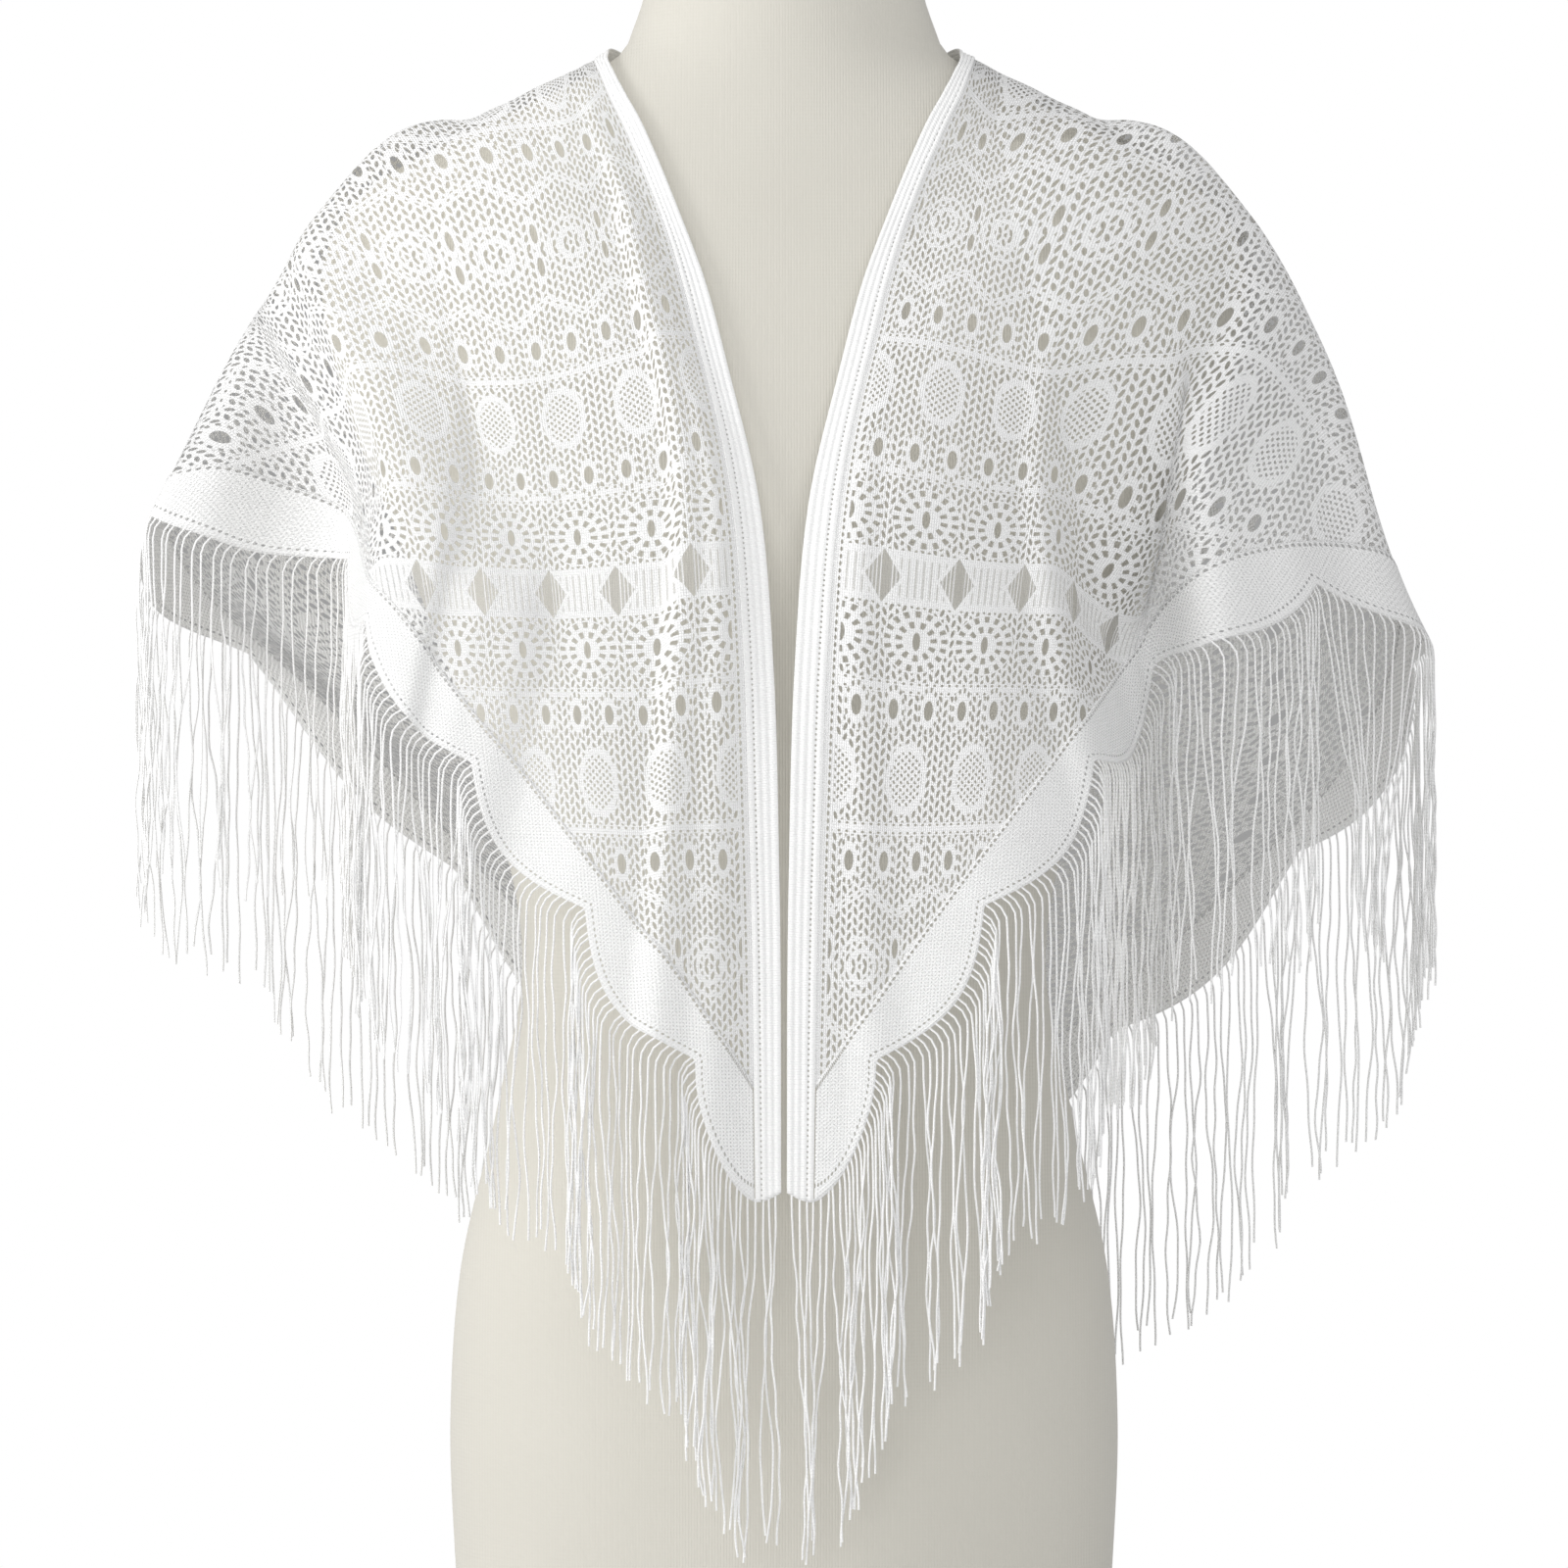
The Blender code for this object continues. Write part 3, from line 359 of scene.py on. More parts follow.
def off_form(points):
    """Distance of points from the form's surface, and the direction away from it."""
    step = 0.0005
    level = form_level(points)
    slopes = [(form_level(points + step * axis) - form_level(points - step * axis)) / (2 * step)
              for axis in np.eye(3)]
    slope = np.stack(slopes, axis=-1)
    steepness = np.linalg.norm(slope, axis=-1)
    return level / steepness, slope / steepness[..., None]


def clear_of_form(points):
    """Moves cloth that would touch the form out to its rest gap, softly."""
    distance, away = off_form(points)
    excess = np.clip((distance - REST_GAP) / REST_SOFTNESS, -30, 30)
    rested = REST_GAP + REST_SOFTNESS * np.log1p(np.exp(excess))
    shift = np.where(excess < 6, rested - distance, 0.0)
    points = points + shift[..., None] * away
    for _ in range(2):
        distance, away = off_form(points)
        points = points + np.maximum(REST_GAP - distance, 0.0)[..., None] * away
    return points


def folded(side, share, columns, ring):
    """One ring's points with the folds and creases of its side."""
    moved = ring.copy()
    for fold in FOLDS + CREASES:
        row = dict(zip(FOLD_COLUMNS, fold))
        if row["side"] != side:
            continue
        grown = float(ease((share - row["grows_from"]) / (row["grows_to"] - row["grows_from"])))
        place = row["start_at"] + (row["hem_at"] - row["start_at"]) * grown
        before = 1 - np.clip((place - columns) / row["rise"], 0, 1)
        after = 1 - np.clip((columns - place) / row["fall"], 0, 1)
        bump = grown * ease(np.where(columns < place, before, after))
        moved += bump[:, None] * np.array([row["outward"], -row["forward"], row["up"]])
    return moved


def arc_shares(side, share, total):
    """Places along a ring's length for even shares of it: the front keeps its flat length."""
    even = np.linspace(0.0, 1.0, RING_STEPS)
    if share == 0:
        return even
    stretch = total / (share * HEM_LENGTH)
    late = np.clip((even - EVEN_SHARE) / (1 - EVEN_SHARE), 0.0, 1.0)
    return (even + (stretch - 1) * late ** STRETCH_POWER[side]) / stretch


def drape(side):
    """Grid of one half's cloth, by share of the way to the hem and share round the ring."""
    tape = np.vstack([TAPE_LINE[1] * (-1, -1, 1, 1), TAPE_LINE])
    knots = [0.0] + [row[0] for row in RINGS]
    nape = np.tile(TAPE_LINE[0][1:], (LAST_COLUMN, 1))
    anchors = np.array([nape] + [np.array(row[1:]) for row in RINGS])
    columns = np.linspace(0.0, LAST_COLUMN, RING_STEPS)
    grid = []
    for share in np.linspace(0.0, FURTHEST_SHARE, SHARE_STEPS):
        edge = through(tape[:, 0], tape[:, 1:], np.array([share * EDGE_LENGTH]))[0]
        others = through(knots, anchors, np.array([share]))[0]
        blade, back = others[-2], others[-1]
        guard = np.array([-blade[0], blade[1], 2 * back[2] - blade[2]])
        ring = through(np.arange(LAST_COLUMN + 2), np.vstack([edge, others, guard]), columns)
        ring = clear_of_form(folded(side, share, columns, ring))
        ring[-1, 0] = 0.0
        along = np.concatenate([[0.0], np.cumsum(np.linalg.norm(np.diff(ring, axis=0), axis=1))])
        total = max(along[-1], 1e-9)
        even = arc_shares(side, share, total)
        grid.append(np.stack([np.interp(even, along / total, ring[:, k]) for k in range(3)], axis=1))
    grid = np.array(grid)
    grid[0] = grid[0, 0]
    grid[..., 0] *= side
    return grid


drapes = {side: drape(side) for side in (-1, 1)}


def place(side, u, v):
    """Place in space of flat points of one half."""
    share = np.maximum(u / EDGE_LENGTH + v / BACK_DEPTH, 1e-6)
    round_ring = np.clip((v / BACK_DEPTH) / share, 0.0, 1.0)
    row = np.clip(share / FURTHEST_SHARE, 0, 1) * (SHARE_STEPS - 1)
    column = round_ring * (RING_STEPS - 1)
    i = np.minimum(row.astype(int), SHARE_STEPS - 2)
    j = np.minimum(column.astype(int), RING_STEPS - 2)
    a = (row - i)[..., None]
    b = (column - j)[..., None]
    g = drapes[side]
    low = (1 - b) * g[i, j] + b * g[i, j + 1]
    high = (1 - b) * g[i + 1, j] + b * g[i + 1, j + 1]
    return (1 - a) * low + a * high


def laid(u, v, lift):
    """Places and outward directions of points of the cut, lifted off the cloth's inner face."""
    u, v, lift = np.broadcast_arrays(np.asarray(u, float), np.asarray(v, float), lift)
    points = np.zeros(u.shape + (3,))
    normals = np.zeros(u.shape + (3,))
    for side in (-1, 1):
        mine = (u >= 0) if side == 1 else (u < 0)
        at_u, at_v = np.abs(u[mine]), v[mine]
        low_u = np.maximum(at_u - NORMAL_REACH, 0.0)
        low_v = np.maximum(at_v - NORMAL_REACH, 0.0)
        along_u = place(side, at_u + NORMAL_REACH, at_v) - place(side, low_u, at_v)
        along_v = place(side, at_u, at_v + NORMAL_REACH) - place(side, at_u, low_v)
        points[mine] = place(side, at_u, at_v)
        normals[mine] = np.cross(along_u, along_v) * side
    normals[np.abs(u) < 1e-9, 0] = 0.0
    normals /= np.maximum(np.linalg.norm(normals, axis=-1, keepdims=True), 1e-12)
    return points + normals * lift[..., None], normals


def cloth(name, u, v, lift, material):
    """A cloth piece over a grid of points of the cut, which keeps its flat places."""
    points, _ = laid(u, v, lift)
    rows, columns = u.shape
    piece = add_mesh(name, points.reshape(-1, 3), grid_faces(rows, columns), material)
    cut = piece.data.attributes.new("cut", "FLOAT_VECTOR", "POINT")
    flat = np.stack([u.ravel(), v.ravel(), np.zeros(u.size)], axis=1)
    cut.data.foreach_set("vector", flat.astype(np.float32).ravel())
    corner_of = np.zeros(len(piece.data.loops), np.int32)
    piece.data.loops.foreach_get("vertex_index", corner_of)
    at_u, at_v = flat[corner_of, 0] / EDGE_LENGTH, flat[corner_of, 1] / BACK_DEPTH
    middle = np.repeat(flat[corner_of, 0].reshape(-1, 4).mean(axis=1), 4)
    at_u, at_v = np.where(middle < 0, 1 + at_u, at_u), np.where(middle < 0, 1 - at_v, at_v)
    chart = piece.data.uv_layers.new(name="OFBake")
    chart.uv.foreach_set("vector", np.stack([at_u, at_v], axis=1).astype(np.float32).ravel())
    return piece


# Sizes of the lace's figures in millimetres, u along the tape and v away from it
BAND_REPEAT = 356.0
DIAMOND_PITCH = 29.0
DIAMOND_FIRST = 31.0
NET_PITCH = (4.7, 5.0)
NET_SLOT = (1.80, 0.72)
FINE_PITCH = (3.4, 3.0)
FINE_SLOT = (0.80, 0.52)
NET_SLANT = 0.25
DOT_PITCH = 3.2
DOT_SIZE = 0.62
BLUR = 0.30
LACE_WHITE = (0.94, 0.94, 0.94, 1.0)
LACE_GREY = (0.87, 0.87, 0.87, 1.0)
SHINE_THROUGH = 0.68

# Diamonds: half height and half width, frame as a share of them, threads of the veil, open slit
DIAMOND_ROW = 12.5
DIAMOND_HALF = (12.4, 7.0)
DIAMOND_FRAME = 1.24
VEIL_PITCH = 1.5
VEIL_OPEN = 0.80
VEIL_THREAD = 0.65
SLIT_AT = 1.2
SLIT_HALF = 1.6
RIB_PITCH = 2.9
RIB_REACH = 9.0
RIB_OPEN = 0.45
# Rosettes, with rings of slots: inner radius, outer radius, slots, width of a slot as a sine
ROSETTES_AT = 28.5
ROSETTE_TALL = 1.1
ROSETTE_EDGE = 13.4
ROSETTE_EYE = (4.2, 1.5)
ROSETTE_RINGS = (
    (5.6, 8.3, 11.0, -0.12),
    (10.1, 12.7, 17.0, -0.15),
)
# Close lines with two rows of dots
CLOSE_LINES = (50.0, 115.0)
LINE_HALF = 3.0
LINE_DOTS = 1.9
# Eyelets on both sides of the large ovals, with their beads as shares of an eyelet
EYELETS_ROUND = 95.0
EYELETS_OFF = 35.0
EYELET_HALF = (4.7, 1.9)
EYELET_BEADS = (1.85, 2.35)
EYELET_EDGE = 2.45
BEADS = 12.0
# Large ovals, with their edge and the net inside as shares of an oval
OVALS_AT = 92.0
OVAL_HALF = (17.5, 9.3)
OVAL_EDGE = 0.94
OVAL_NET = 0.74
# Zigzag, and medallions between tall slits
ZIGZAG_AT = 143.0
ZIGZAG_RISE = 0.75
ZIGZAG_HALF = 2.0
MEDALS_AT = 178.0
MEDAL_HALF = (13.5, 10.5)
MEDAL_RINGS = ((0.45, 0.62), (0.9, 1.02))
TALL_SLITS_OFF = 8.0
TALL_SLIT_HALF = (4.6, 1.3)
TALL_SLIT_EDGE = 1.8
# Plain stripes beside the tape
STRIPES_EDGE = 16.4
STRIPE_SLOTS_AT = 14.6
STRIPE_SLOT_PITCH = 3.4
STRIPE_SLOT = (1.1, 0.5)


def centred(value, pitch, first=0.0):
    """Distance from the nearest of a row of places, less than 0 before it."""
    shifted = value - first if first else value
    return value.math("WRAP", shifted, pitch / 2, -pitch / 2)


def oval(du, dv, half_u, half_v):
    """1 on an oval's outline, less inside it and more outside it."""
    a = du / half_u
    b = dv / half_v
    squares = a.math("MULTIPLY_ADD", a, a, b * b)
    return squares.math("SQRT", squares)


def either(*masks):
    made = masks[0]
    for mask in masks[1:]:
        made = made.higher(mask)
    return made


def between(value, low, high, blur=BLUR):
    return value.under(high, blur) - value.under(low, blur)


def net(u, v, pitch, slot):
    """Slots of an even net, in two sets of rows that lean opposite ways."""
    u_a, v_a = centred(u, pitch[0]), centred(v, pitch[1])
    u_b, v_b = centred(u, pitch[0], pitch[0] / 2), centred(v, pitch[1], pitch[1] / 2)
    a = oval(u_a, v_a + u_a * NET_SLANT, *slot)
    b = oval(u_b, v_b - u_b * NET_SLANT, *slot)
    return a.lower(b).under(1.0, BLUR)


def dotted_line(across, along):
    return oval(across, centred(along, DOT_PITCH), DOT_SIZE, DOT_SIZE).under(1.0, 0.3)


def lace_holes(u, v):
    """1 in the holes of the lace and 0 on its yarn."""
    away = abs(centred(abs(u), BAND_REPEAT))
    column = centred(v, DIAMOND_PITCH, DIAMOND_FIRST)
    between_columns = centred(v, DIAMOND_PITCH, DIAMOND_FIRST + DIAMOND_PITCH / 2)
    fine = net(away, v, FINE_PITCH, FINE_SLOT)
    holes = net(away, v, NET_PITCH, NET_SLOT)

    def lay(holes, region, inside):
        """Puts one figure over what lies under it."""
        return holes.finish.node("ShaderNodeMix", None, {0: region, 2: holes, 3: inside})

    # Row of diamonds, each veiled by fine threads beside an open slit, in a close narrow frame
    diamond = abs(column) / DIAMOND_HALF[1] + away / DIAMOND_HALF[0]
    slit = abs(column - SLIT_AT).under(SLIT_HALF, BLUR)
    threads = abs(centred(v, VEIL_PITCH)).under(0.30, BLUR) * (1 - slit)
    ribs = abs(centred(v, RIB_PITCH)).under(0.40, 0.4) * away.under(RIB_REACH, 1.5)
    holes = lay(holes, away.under(DIAMOND_ROW, BLUR), ribs * RIB_OPEN)
    veil = VEIL_OPEN - threads * VEIL_THREAD
    holes = lay(holes, diamond.under(DIAMOND_FRAME, 0.06), diamond.under(1.0, 0.08) * veil)

    # Rosettes above and below the diamonds: an eye with two rings of slots round it
    rise = away - ROSETTES_AT
    radius = oval(rise, between_columns, ROSETTE_TALL, 1.0)
    angle = rise.math("ARCTAN2", rise, between_columns)
    rings = [between(radius, low, high) * (angle * slots).sine().under(width, 0.7)
             for low, high, slots, width in ROSETTE_RINGS]
    eye = oval(rise, between_columns, *ROSETTE_EYE).under(1.0, 0.15)
    holes = lay(holes, radius.under(ROSETTE_EDGE, BLUR), either(*rings, eye))

    for line_at in CLOSE_LINES:
        off = abs(away - line_at)
        holes = lay(holes, off.under(LINE_HALF, BLUR), dotted_line(off - LINE_DOTS, v))

    # Eyelets on both sides of the large ovals, each with dots round it
    rise = abs(away - EYELETS_ROUND) - EYELETS_OFF
    beside = centred(v, DIAMOND_PITCH / 2, DIAMOND_FIRST - DIAMOND_PITCH / 4)
    eyelet = oval(rise, beside, *EYELET_HALF)
    angle = rise.math("ARCTAN2", rise / EYELET_HALF[0], beside / EYELET_HALF[1])
    beads = between(eyelet, *EYELET_BEADS, 0.1) * (angle * BEADS).sine().under(-0.1, 0.5)
    holes = lay(holes, eyelet.under(EYELET_EDGE, 0.2), either(eyelet.under(1.0, 0.12), beads))

    # Large ovals of fine net with a plain ring round it
    disc = oval(away - OVALS_AT, between_columns, *OVAL_HALF)
    holes = lay(holes, disc.under(OVAL_EDGE, 0.05), fine * disc.under(OVAL_NET, 0.05))

    # Dotted zigzag
    line = away - (abs(column) * ZIGZAG_RISE + ZIGZAG_AT)
    holes = lay(holes, abs(line).under(ZIGZAG_HALF, BLUR), dotted_line(line, v))

    # Net medallions between tall slits
    medal = oval(away - MEDALS_AT, column, *MEDAL_HALF)
    inner, outer = [between(medal, *ring, 0.05) for ring in MEDAL_RINGS]
    holes = lay(holes, inner + outer, 0.0)
    slit = oval(abs(away - MEDALS_AT) - TALL_SLITS_OFF, between_columns, *TALL_SLIT_HALF)
    holes = lay(holes, slit.under(TALL_SLIT_EDGE, 0.15), slit.under(1.0, 0.15))

    # Plain stripes beside the tape, with a column of small slots
    small = oval(centred(u, STRIPE_SLOT_PITCH), v - STRIPE_SLOTS_AT, *STRIPE_SLOT).under(1.0, 0.3)
    return lay(holes, v.under(STRIPES_EDGE, BLUR), small)


def white_yarn(name, grain):
    """Matt white cotton yarn, lightly mottled."""
    yarn = Finish(name, 0.88)
    yarn.shader.inputs["Sheen Weight"].default_value = 0.20
    yarn.shader.inputs["Sheen Roughness"].default_value = 0.6
    at = yarn.node("ShaderNodeTexCoord", output="Object")
    mottle = yarn.noise(at, grain, 3.0)
    yarn.feed(yarn.shader.inputs["Base Color"], yarn.colours(mottle, LACE_WHITE, LACE_GREY))
    return yarn, at, mottle


lace_finish, _, _ = white_yarn("white_lace_knit", 60.0)
cut = lace_finish.node("ShaderNodeAttribute", {"attribute_name": "cut"}, output="Vector")
flat_u, flat_v, _ = lace_finish.parts(cut)
flat_u, flat_v = flat_u * 1000, flat_v * 1000
holes = lace_holes(flat_u, flat_v)
lace_finish.cut_out(holes)
wales = (flat_v * (2 * math.pi / 0.9)).sine() * 0.5
courses = (flat_u * (2 * math.pi / 1.3)).sine() * 0.5
lace_finish.relief(wales + courses, 0.00025)

LACE_U_STEPS = 300
LACE_V_STEPS = 150
LACE_LIFT = 0.0006
LACE_LAP = 0.0010
hem_share = 1 - (BORDER_WIDTH - LACE_LAP) * HEM_LENGTH / (EDGE_LENGTH * BACK_DEPTH)
lace_low = TAPE_WIDTH - LACE_LAP
lace_end = EDGE_LENGTH * (hem_share - lace_low / BACK_DEPTH)
signed = np.linspace(-lace_end, lace_end, 2 * LACE_U_STEPS + 1)[:, None]
lace_high = BACK_DEPTH * (hem_share - np.abs(signed) / EDGE_LENGTH)
lace_v = lace_low + (lace_high - lace_low) * np.linspace(0, 1, LACE_V_STEPS + 1)[None, :]
lace_u = np.broadcast_to(signed, lace_v.shape)
lace = cloth("lace_ground", lace_u, lace_v, LACE_LIFT, lace_finish.material)
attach(lace, "root")
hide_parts("lace_left_front", "lace_right_front", "lace_left_back", "lace_right_back",
            "lace_middle_back")

# Taped edge. A narrow knitted band, four close ribs and a row of pin holes, that finishes the
# long edge round the neck and down both fronts.
TAPE_RIBS = 4
# Darker grey painted into the grooves between the tape's ribs: painted shade
TAPE_GROOVE_PAINTED_SHADE = (0.84, 0.84, 0.835, 1.0)
TAPE_ACROSS = 33
TAPE_STEP = 0.0022
TAPE_WALL = 0.0008
TAPE_RELIEF = 0.0004
TAPE_LIFT = 0.0009
TAPE_PIN_PITCH = 2.4
TAPE_PIN_LINE = 9.0
TAPE_PIN_SIZE = 0.45
SCALLOPS = 9.5
SCALLOP_PITCH = HEM_LENGTH / SCALLOPS
SCALLOP_DEPTH = 0.017
NOTCH_DEPTH = 0.008
HEM_AT_TAPE = (TAPE_WIDTH + 0.0005) * HEM_LENGTH / BACK_DEPTH


def edge_of_hem(h):
    """How far the scalloped edge lies outside the straight hem line."""
    return SCALLOP_DEPTH * np.abs(np.sin(np.pi * h / SCALLOP_PITCH)) - NOTCH_DEPTH


def hem_point(h, d):
    """Flat point at h along the hem from the front tip and d outside its straight line."""
    straight = (EDGE_LENGTH / HEM_LENGTH) ** 2
    turns = (HEM_AT_TAPE / HEM_LENGTH, 0.10, 0.90, 1.0)
    lean = np.interp(h / HEM_LENGTH, turns, (0.0, straight, straight, 1.0))
    normal_u = BACK_DEPTH / HEM_LENGTH
    normal_v = EDGE_LENGTH / HEM_LENGTH
    return (EDGE_LENGTH - h * normal_v + d * (1 - lean) / normal_u,
            h * normal_u + d * lean / normal_v)


def keep_result(piece):
    """Replaces a piece's mesh by what its modifiers make of it."""
    depsgraph = bpy.context.evaluated_depsgraph_get()
    mesh = bpy.data.meshes.new_from_object(piece.evaluated_get(depsgraph),
                                           preserve_all_data_layers=True, depsgraph=depsgraph)
    piece.modifiers.clear()
    piece.data = mesh


def thicken(piece, wall):
    """Gives a sheet its wall, and keeps the result as a plain mesh."""
    solid = piece.modifiers.new("wall", "SOLIDIFY")
    solid.thickness = wall
    solid.offset = 0.0
    keep_result(piece)


across = np.linspace(0.0, TAPE_WIDTH, TAPE_ACROSS)
hem_at = across * HEM_LENGTH / BACK_DEPTH
tape_end = hem_point(hem_at, edge_of_hem(hem_at))[0]
share_along = np.linspace(-1.0, 1.0, 2 * int(EDGE_LENGTH / TAPE_STEP) + 1)[:, None]
tape_u = share_along * tape_end[None, :]
tape_v = np.broadcast_to(across[None, :], tape_u.shape)
rib = 0.5 - 0.5 * np.cos(2 * np.pi * TAPE_RIBS * across / TAPE_WIDTH)
tape_lift = TAPE_LIFT + TAPE_RELIEF * rib[None, :] * np.ones_like(tape_u)

tape_finish, at, mottle = white_yarn("ribbed_tape_knit", 80.0)
cut = tape_finish.node("ShaderNodeAttribute", {"attribute_name": "cut"}, output="Vector")
flat_u, flat_v, _ = tape_finish.parts(cut)
flat_u, flat_v = flat_u * 1000, flat_v * 1000
pins = oval(centred(flat_u, TAPE_PIN_PITCH), flat_v - TAPE_PIN_LINE, TAPE_PIN_SIZE, TAPE_PIN_SIZE)
pins = pins.under(1.0, 0.4)
stitches = (flat_u * (2 * math.pi / 1.1)).sine() * 0.5
rib_turn = flat_v * (2 * math.pi * TAPE_RIBS / (TAPE_WIDTH * 1000))
# The grooves between the ribs are painted darker: painted shade
painted_groove_shade = rib_turn.math("COSINE", rib_turn) * 0.5 + 0.5
tape_finish.feed(tape_finish.shader.inputs["Base Color"],
                 tape_finish.colours(mottle * 0.6 + painted_groove_shade * 0.35, LACE_WHITE, TAPE_GROOVE_PAINTED_SHADE))
tape_finish.cut_out(pins * 0.9)
tape_finish.relief(stitches * 0.35 - pins + tape_finish.noise(at, 1500.0) * 0.3, 0.0004)

tape = cloth("taped_edge", tape_u, tape_v, tape_lift, tape_finish.material)
thicken(tape, TAPE_WALL)
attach(tape, "root")
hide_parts("neck_tape", "left_front_tape", "right_front_tape")

# Scalloped border. A close crossed knit worked in one with the lace along both short edges,
# with a line of pin holes inside the scalloped hem.
BORDER_STEP = 0.0021
BORDER_ACROSS = 19
BORDER_LIFT = 0.0009
BORDER_WALL = 0.0008
HATCH_PITCH = 1.9
HATCH_HALF = 0.45
HATCH_LEAN = 0.8
# Grey painted into the gaps between the raised crossed threads: painted shade
HATCH_GAP_PAINTED_SHADE = (0.82, 0.82, 0.815, 1.0)
PIN_PITCH = 2.5
PIN_LINE = 4.0
JOIN_PITCH = 2.9
JOIN_LINE = 1.6
PORE_PITCH = 1.6
PORE_SIZE = 0.34

half_h = np.linspace(HEM_AT_TAPE, HEM_LENGTH, int(HEM_LENGTH / BORDER_STEP) + 1)
rows_h = np.concatenate([half_h, half_h[-2::-1]])[:, None]
rows_side = np.concatenate([np.ones(len(half_h)), -np.ones(len(half_h) - 1)])[:, None]
share_out = np.linspace(0.0, 1.0, BORDER_ACROSS)[None, :]
border_d = -BORDER_WIDTH + share_out * (edge_of_hem(rows_h) + BORDER_WIDTH)
border_u, border_v = hem_point(rows_h, border_d)

border_finish, at, mottle = white_yarn("dense_border_knit", 70.0)
cut = border_finish.node("ShaderNodeAttribute", {"attribute_name": "cut"}, output="Vector")
hem = border_finish.node("ShaderNodeAttribute", {"attribute_name": "hem"}, output="Vector")
flat_u, flat_v, _ = border_finish.parts(cut)
flat_u, flat_v = abs(flat_u) * 1000, flat_v * 1000
hem_h, from_edge, from_lace = border_finish.parts(hem)
leant = flat_v * HATCH_LEAN
hatch = either(abs(centred(flat_u + leant, HATCH_PITCH)).under(HATCH_HALF, 0.4),
               abs(centred(flat_u - leant, HATCH_PITCH)).under(HATCH_HALF, 0.4))
pins = oval(centred(hem_h, PIN_PITCH), from_edge - PIN_LINE, 0.55, 0.5).under(1.0, 0.4)
joins = oval(centred(hem_h, JOIN_PITCH), from_lace - JOIN_LINE, 0.8, 0.6).under(1.0, 0.4)
weft = (from_edge * (2 * math.pi / 1.0)).sine() * 0.5
pores = oval(centred(flat_u, PORE_PITCH), centred(flat_v, PORE_PITCH), PORE_SIZE, PORE_SIZE)
pores = pores.under(1.0, 0.5)
pores = pores * from_edge.math("GREATER_THAN", from_edge, PIN_LINE + 1.5)
# The gaps between the raised crossed threads are painted grey: painted shade
border_finish.feed(border_finish.shader.inputs["Base Color"],
                   border_finish.colours(mottle * 0.6 + (1 - hatch) * 0.4, LACE_WHITE, HATCH_GAP_PAINTED_SHADE))
border_finish.cut_out(either(pins, joins, pores * 0.4))
knit = hatch * 0.6 + weft * 0.25 + border_finish.noise(at, 1500.0) * 0.3
border_finish.relief(knit - either(pins, joins), 0.0004)

border = cloth("scalloped_border", rows_side * border_u, border_v, BORDER_LIFT, border_finish.material)
hem_places = border.data.attributes.new("hem", "FLOAT_VECTOR", "POINT")
from_edge_m = (edge_of_hem(rows_h) - border_d) * np.ones_like(border_d)
from_lace_m = border_d + BORDER_WIDTH
hem_rows = np.stack([rows_h * np.ones_like(border_d), from_edge_m, from_lace_m], axis=-1) * 1000
hem_places.data.foreach_set("vector", hem_rows.reshape(-1).astype(np.float32))
thicken(border, BORDER_WALL)
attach(border, "root")
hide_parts("border_left_front", "border_right_front", "border_back")

# Fringe. Long single yarns looped into the scalloped hem. They leave it square to its edge,
# turn down under their own weight, wave a little and cling together in small bunches.
FRINGE_SPACING = 0.0037
FRINGE_LENGTH = 0.157
FRINGE_STEPS = 32
YARN_RADIUS = 0.00050
YARN_SIDES = 5
SHORT_TURN = 0.010
LONG_TURN = 0.034
ROOT_LAP = 0.0008
NEW_BUNCH = 0.30
STRONGEST_PULL = 0.75
FRINGE_SEED = 7


def yarn_tree(material):
    """Geometry nodes that turn lines into yarns of one radius."""
    tree = bpy.data.node_groups.new("yarns_along_lines", "GeometryNodeTree")
    tree.interface.new_socket("Lines", in_out="INPUT", socket_type="NodeSocketGeometry")
    radius = tree.interface.new_socket("Yarn radius", in_out="INPUT", socket_type="NodeSocketFloat")
    sides = tree.interface.new_socket("Yarn sides", in_out="INPUT", socket_type="NodeSocketInt")
    tree.interface.new_socket("Yarns", in_out="OUTPUT", socket_type="NodeSocketGeometry")
    given = tree.nodes.new("NodeGroupInput")
    curves = tree.nodes.new("GeometryNodeMeshToCurve")
    profile = tree.nodes.new("GeometryNodeCurvePrimitiveCircle")
    sweep = tree.nodes.new("GeometryNodeCurveToMesh")
    sweep.inputs["Fill Caps"].default_value = True
    real = tree.nodes.new("GeometryNodeRealizeInstances")
    finish = tree.nodes.new("GeometryNodeSetMaterial")
    finish.inputs["Material"].default_value = material
    result = tree.nodes.new("NodeGroupOutput")
    for source, target in (
        (given.outputs["Lines"], curves.inputs["Mesh"]),
        (given.outputs["Yarn radius"], profile.inputs["Radius"]),
        (given.outputs["Yarn sides"], profile.inputs["Resolution"]),
        (curves.outputs["Curve"], sweep.inputs["Curve"]),
        (profile.outputs["Curve"], sweep.inputs["Profile Curve"]),
        (sweep.outputs["Mesh"], real.inputs["Geometry"]),
        (real.outputs["Geometry"], finish.inputs["Geometry"]),
        (finish.outputs["Geometry"], result.inputs["Yarns"]),
    ):
        tree.links.new(source, target)
    return tree, radius.identifier, sides.identifier


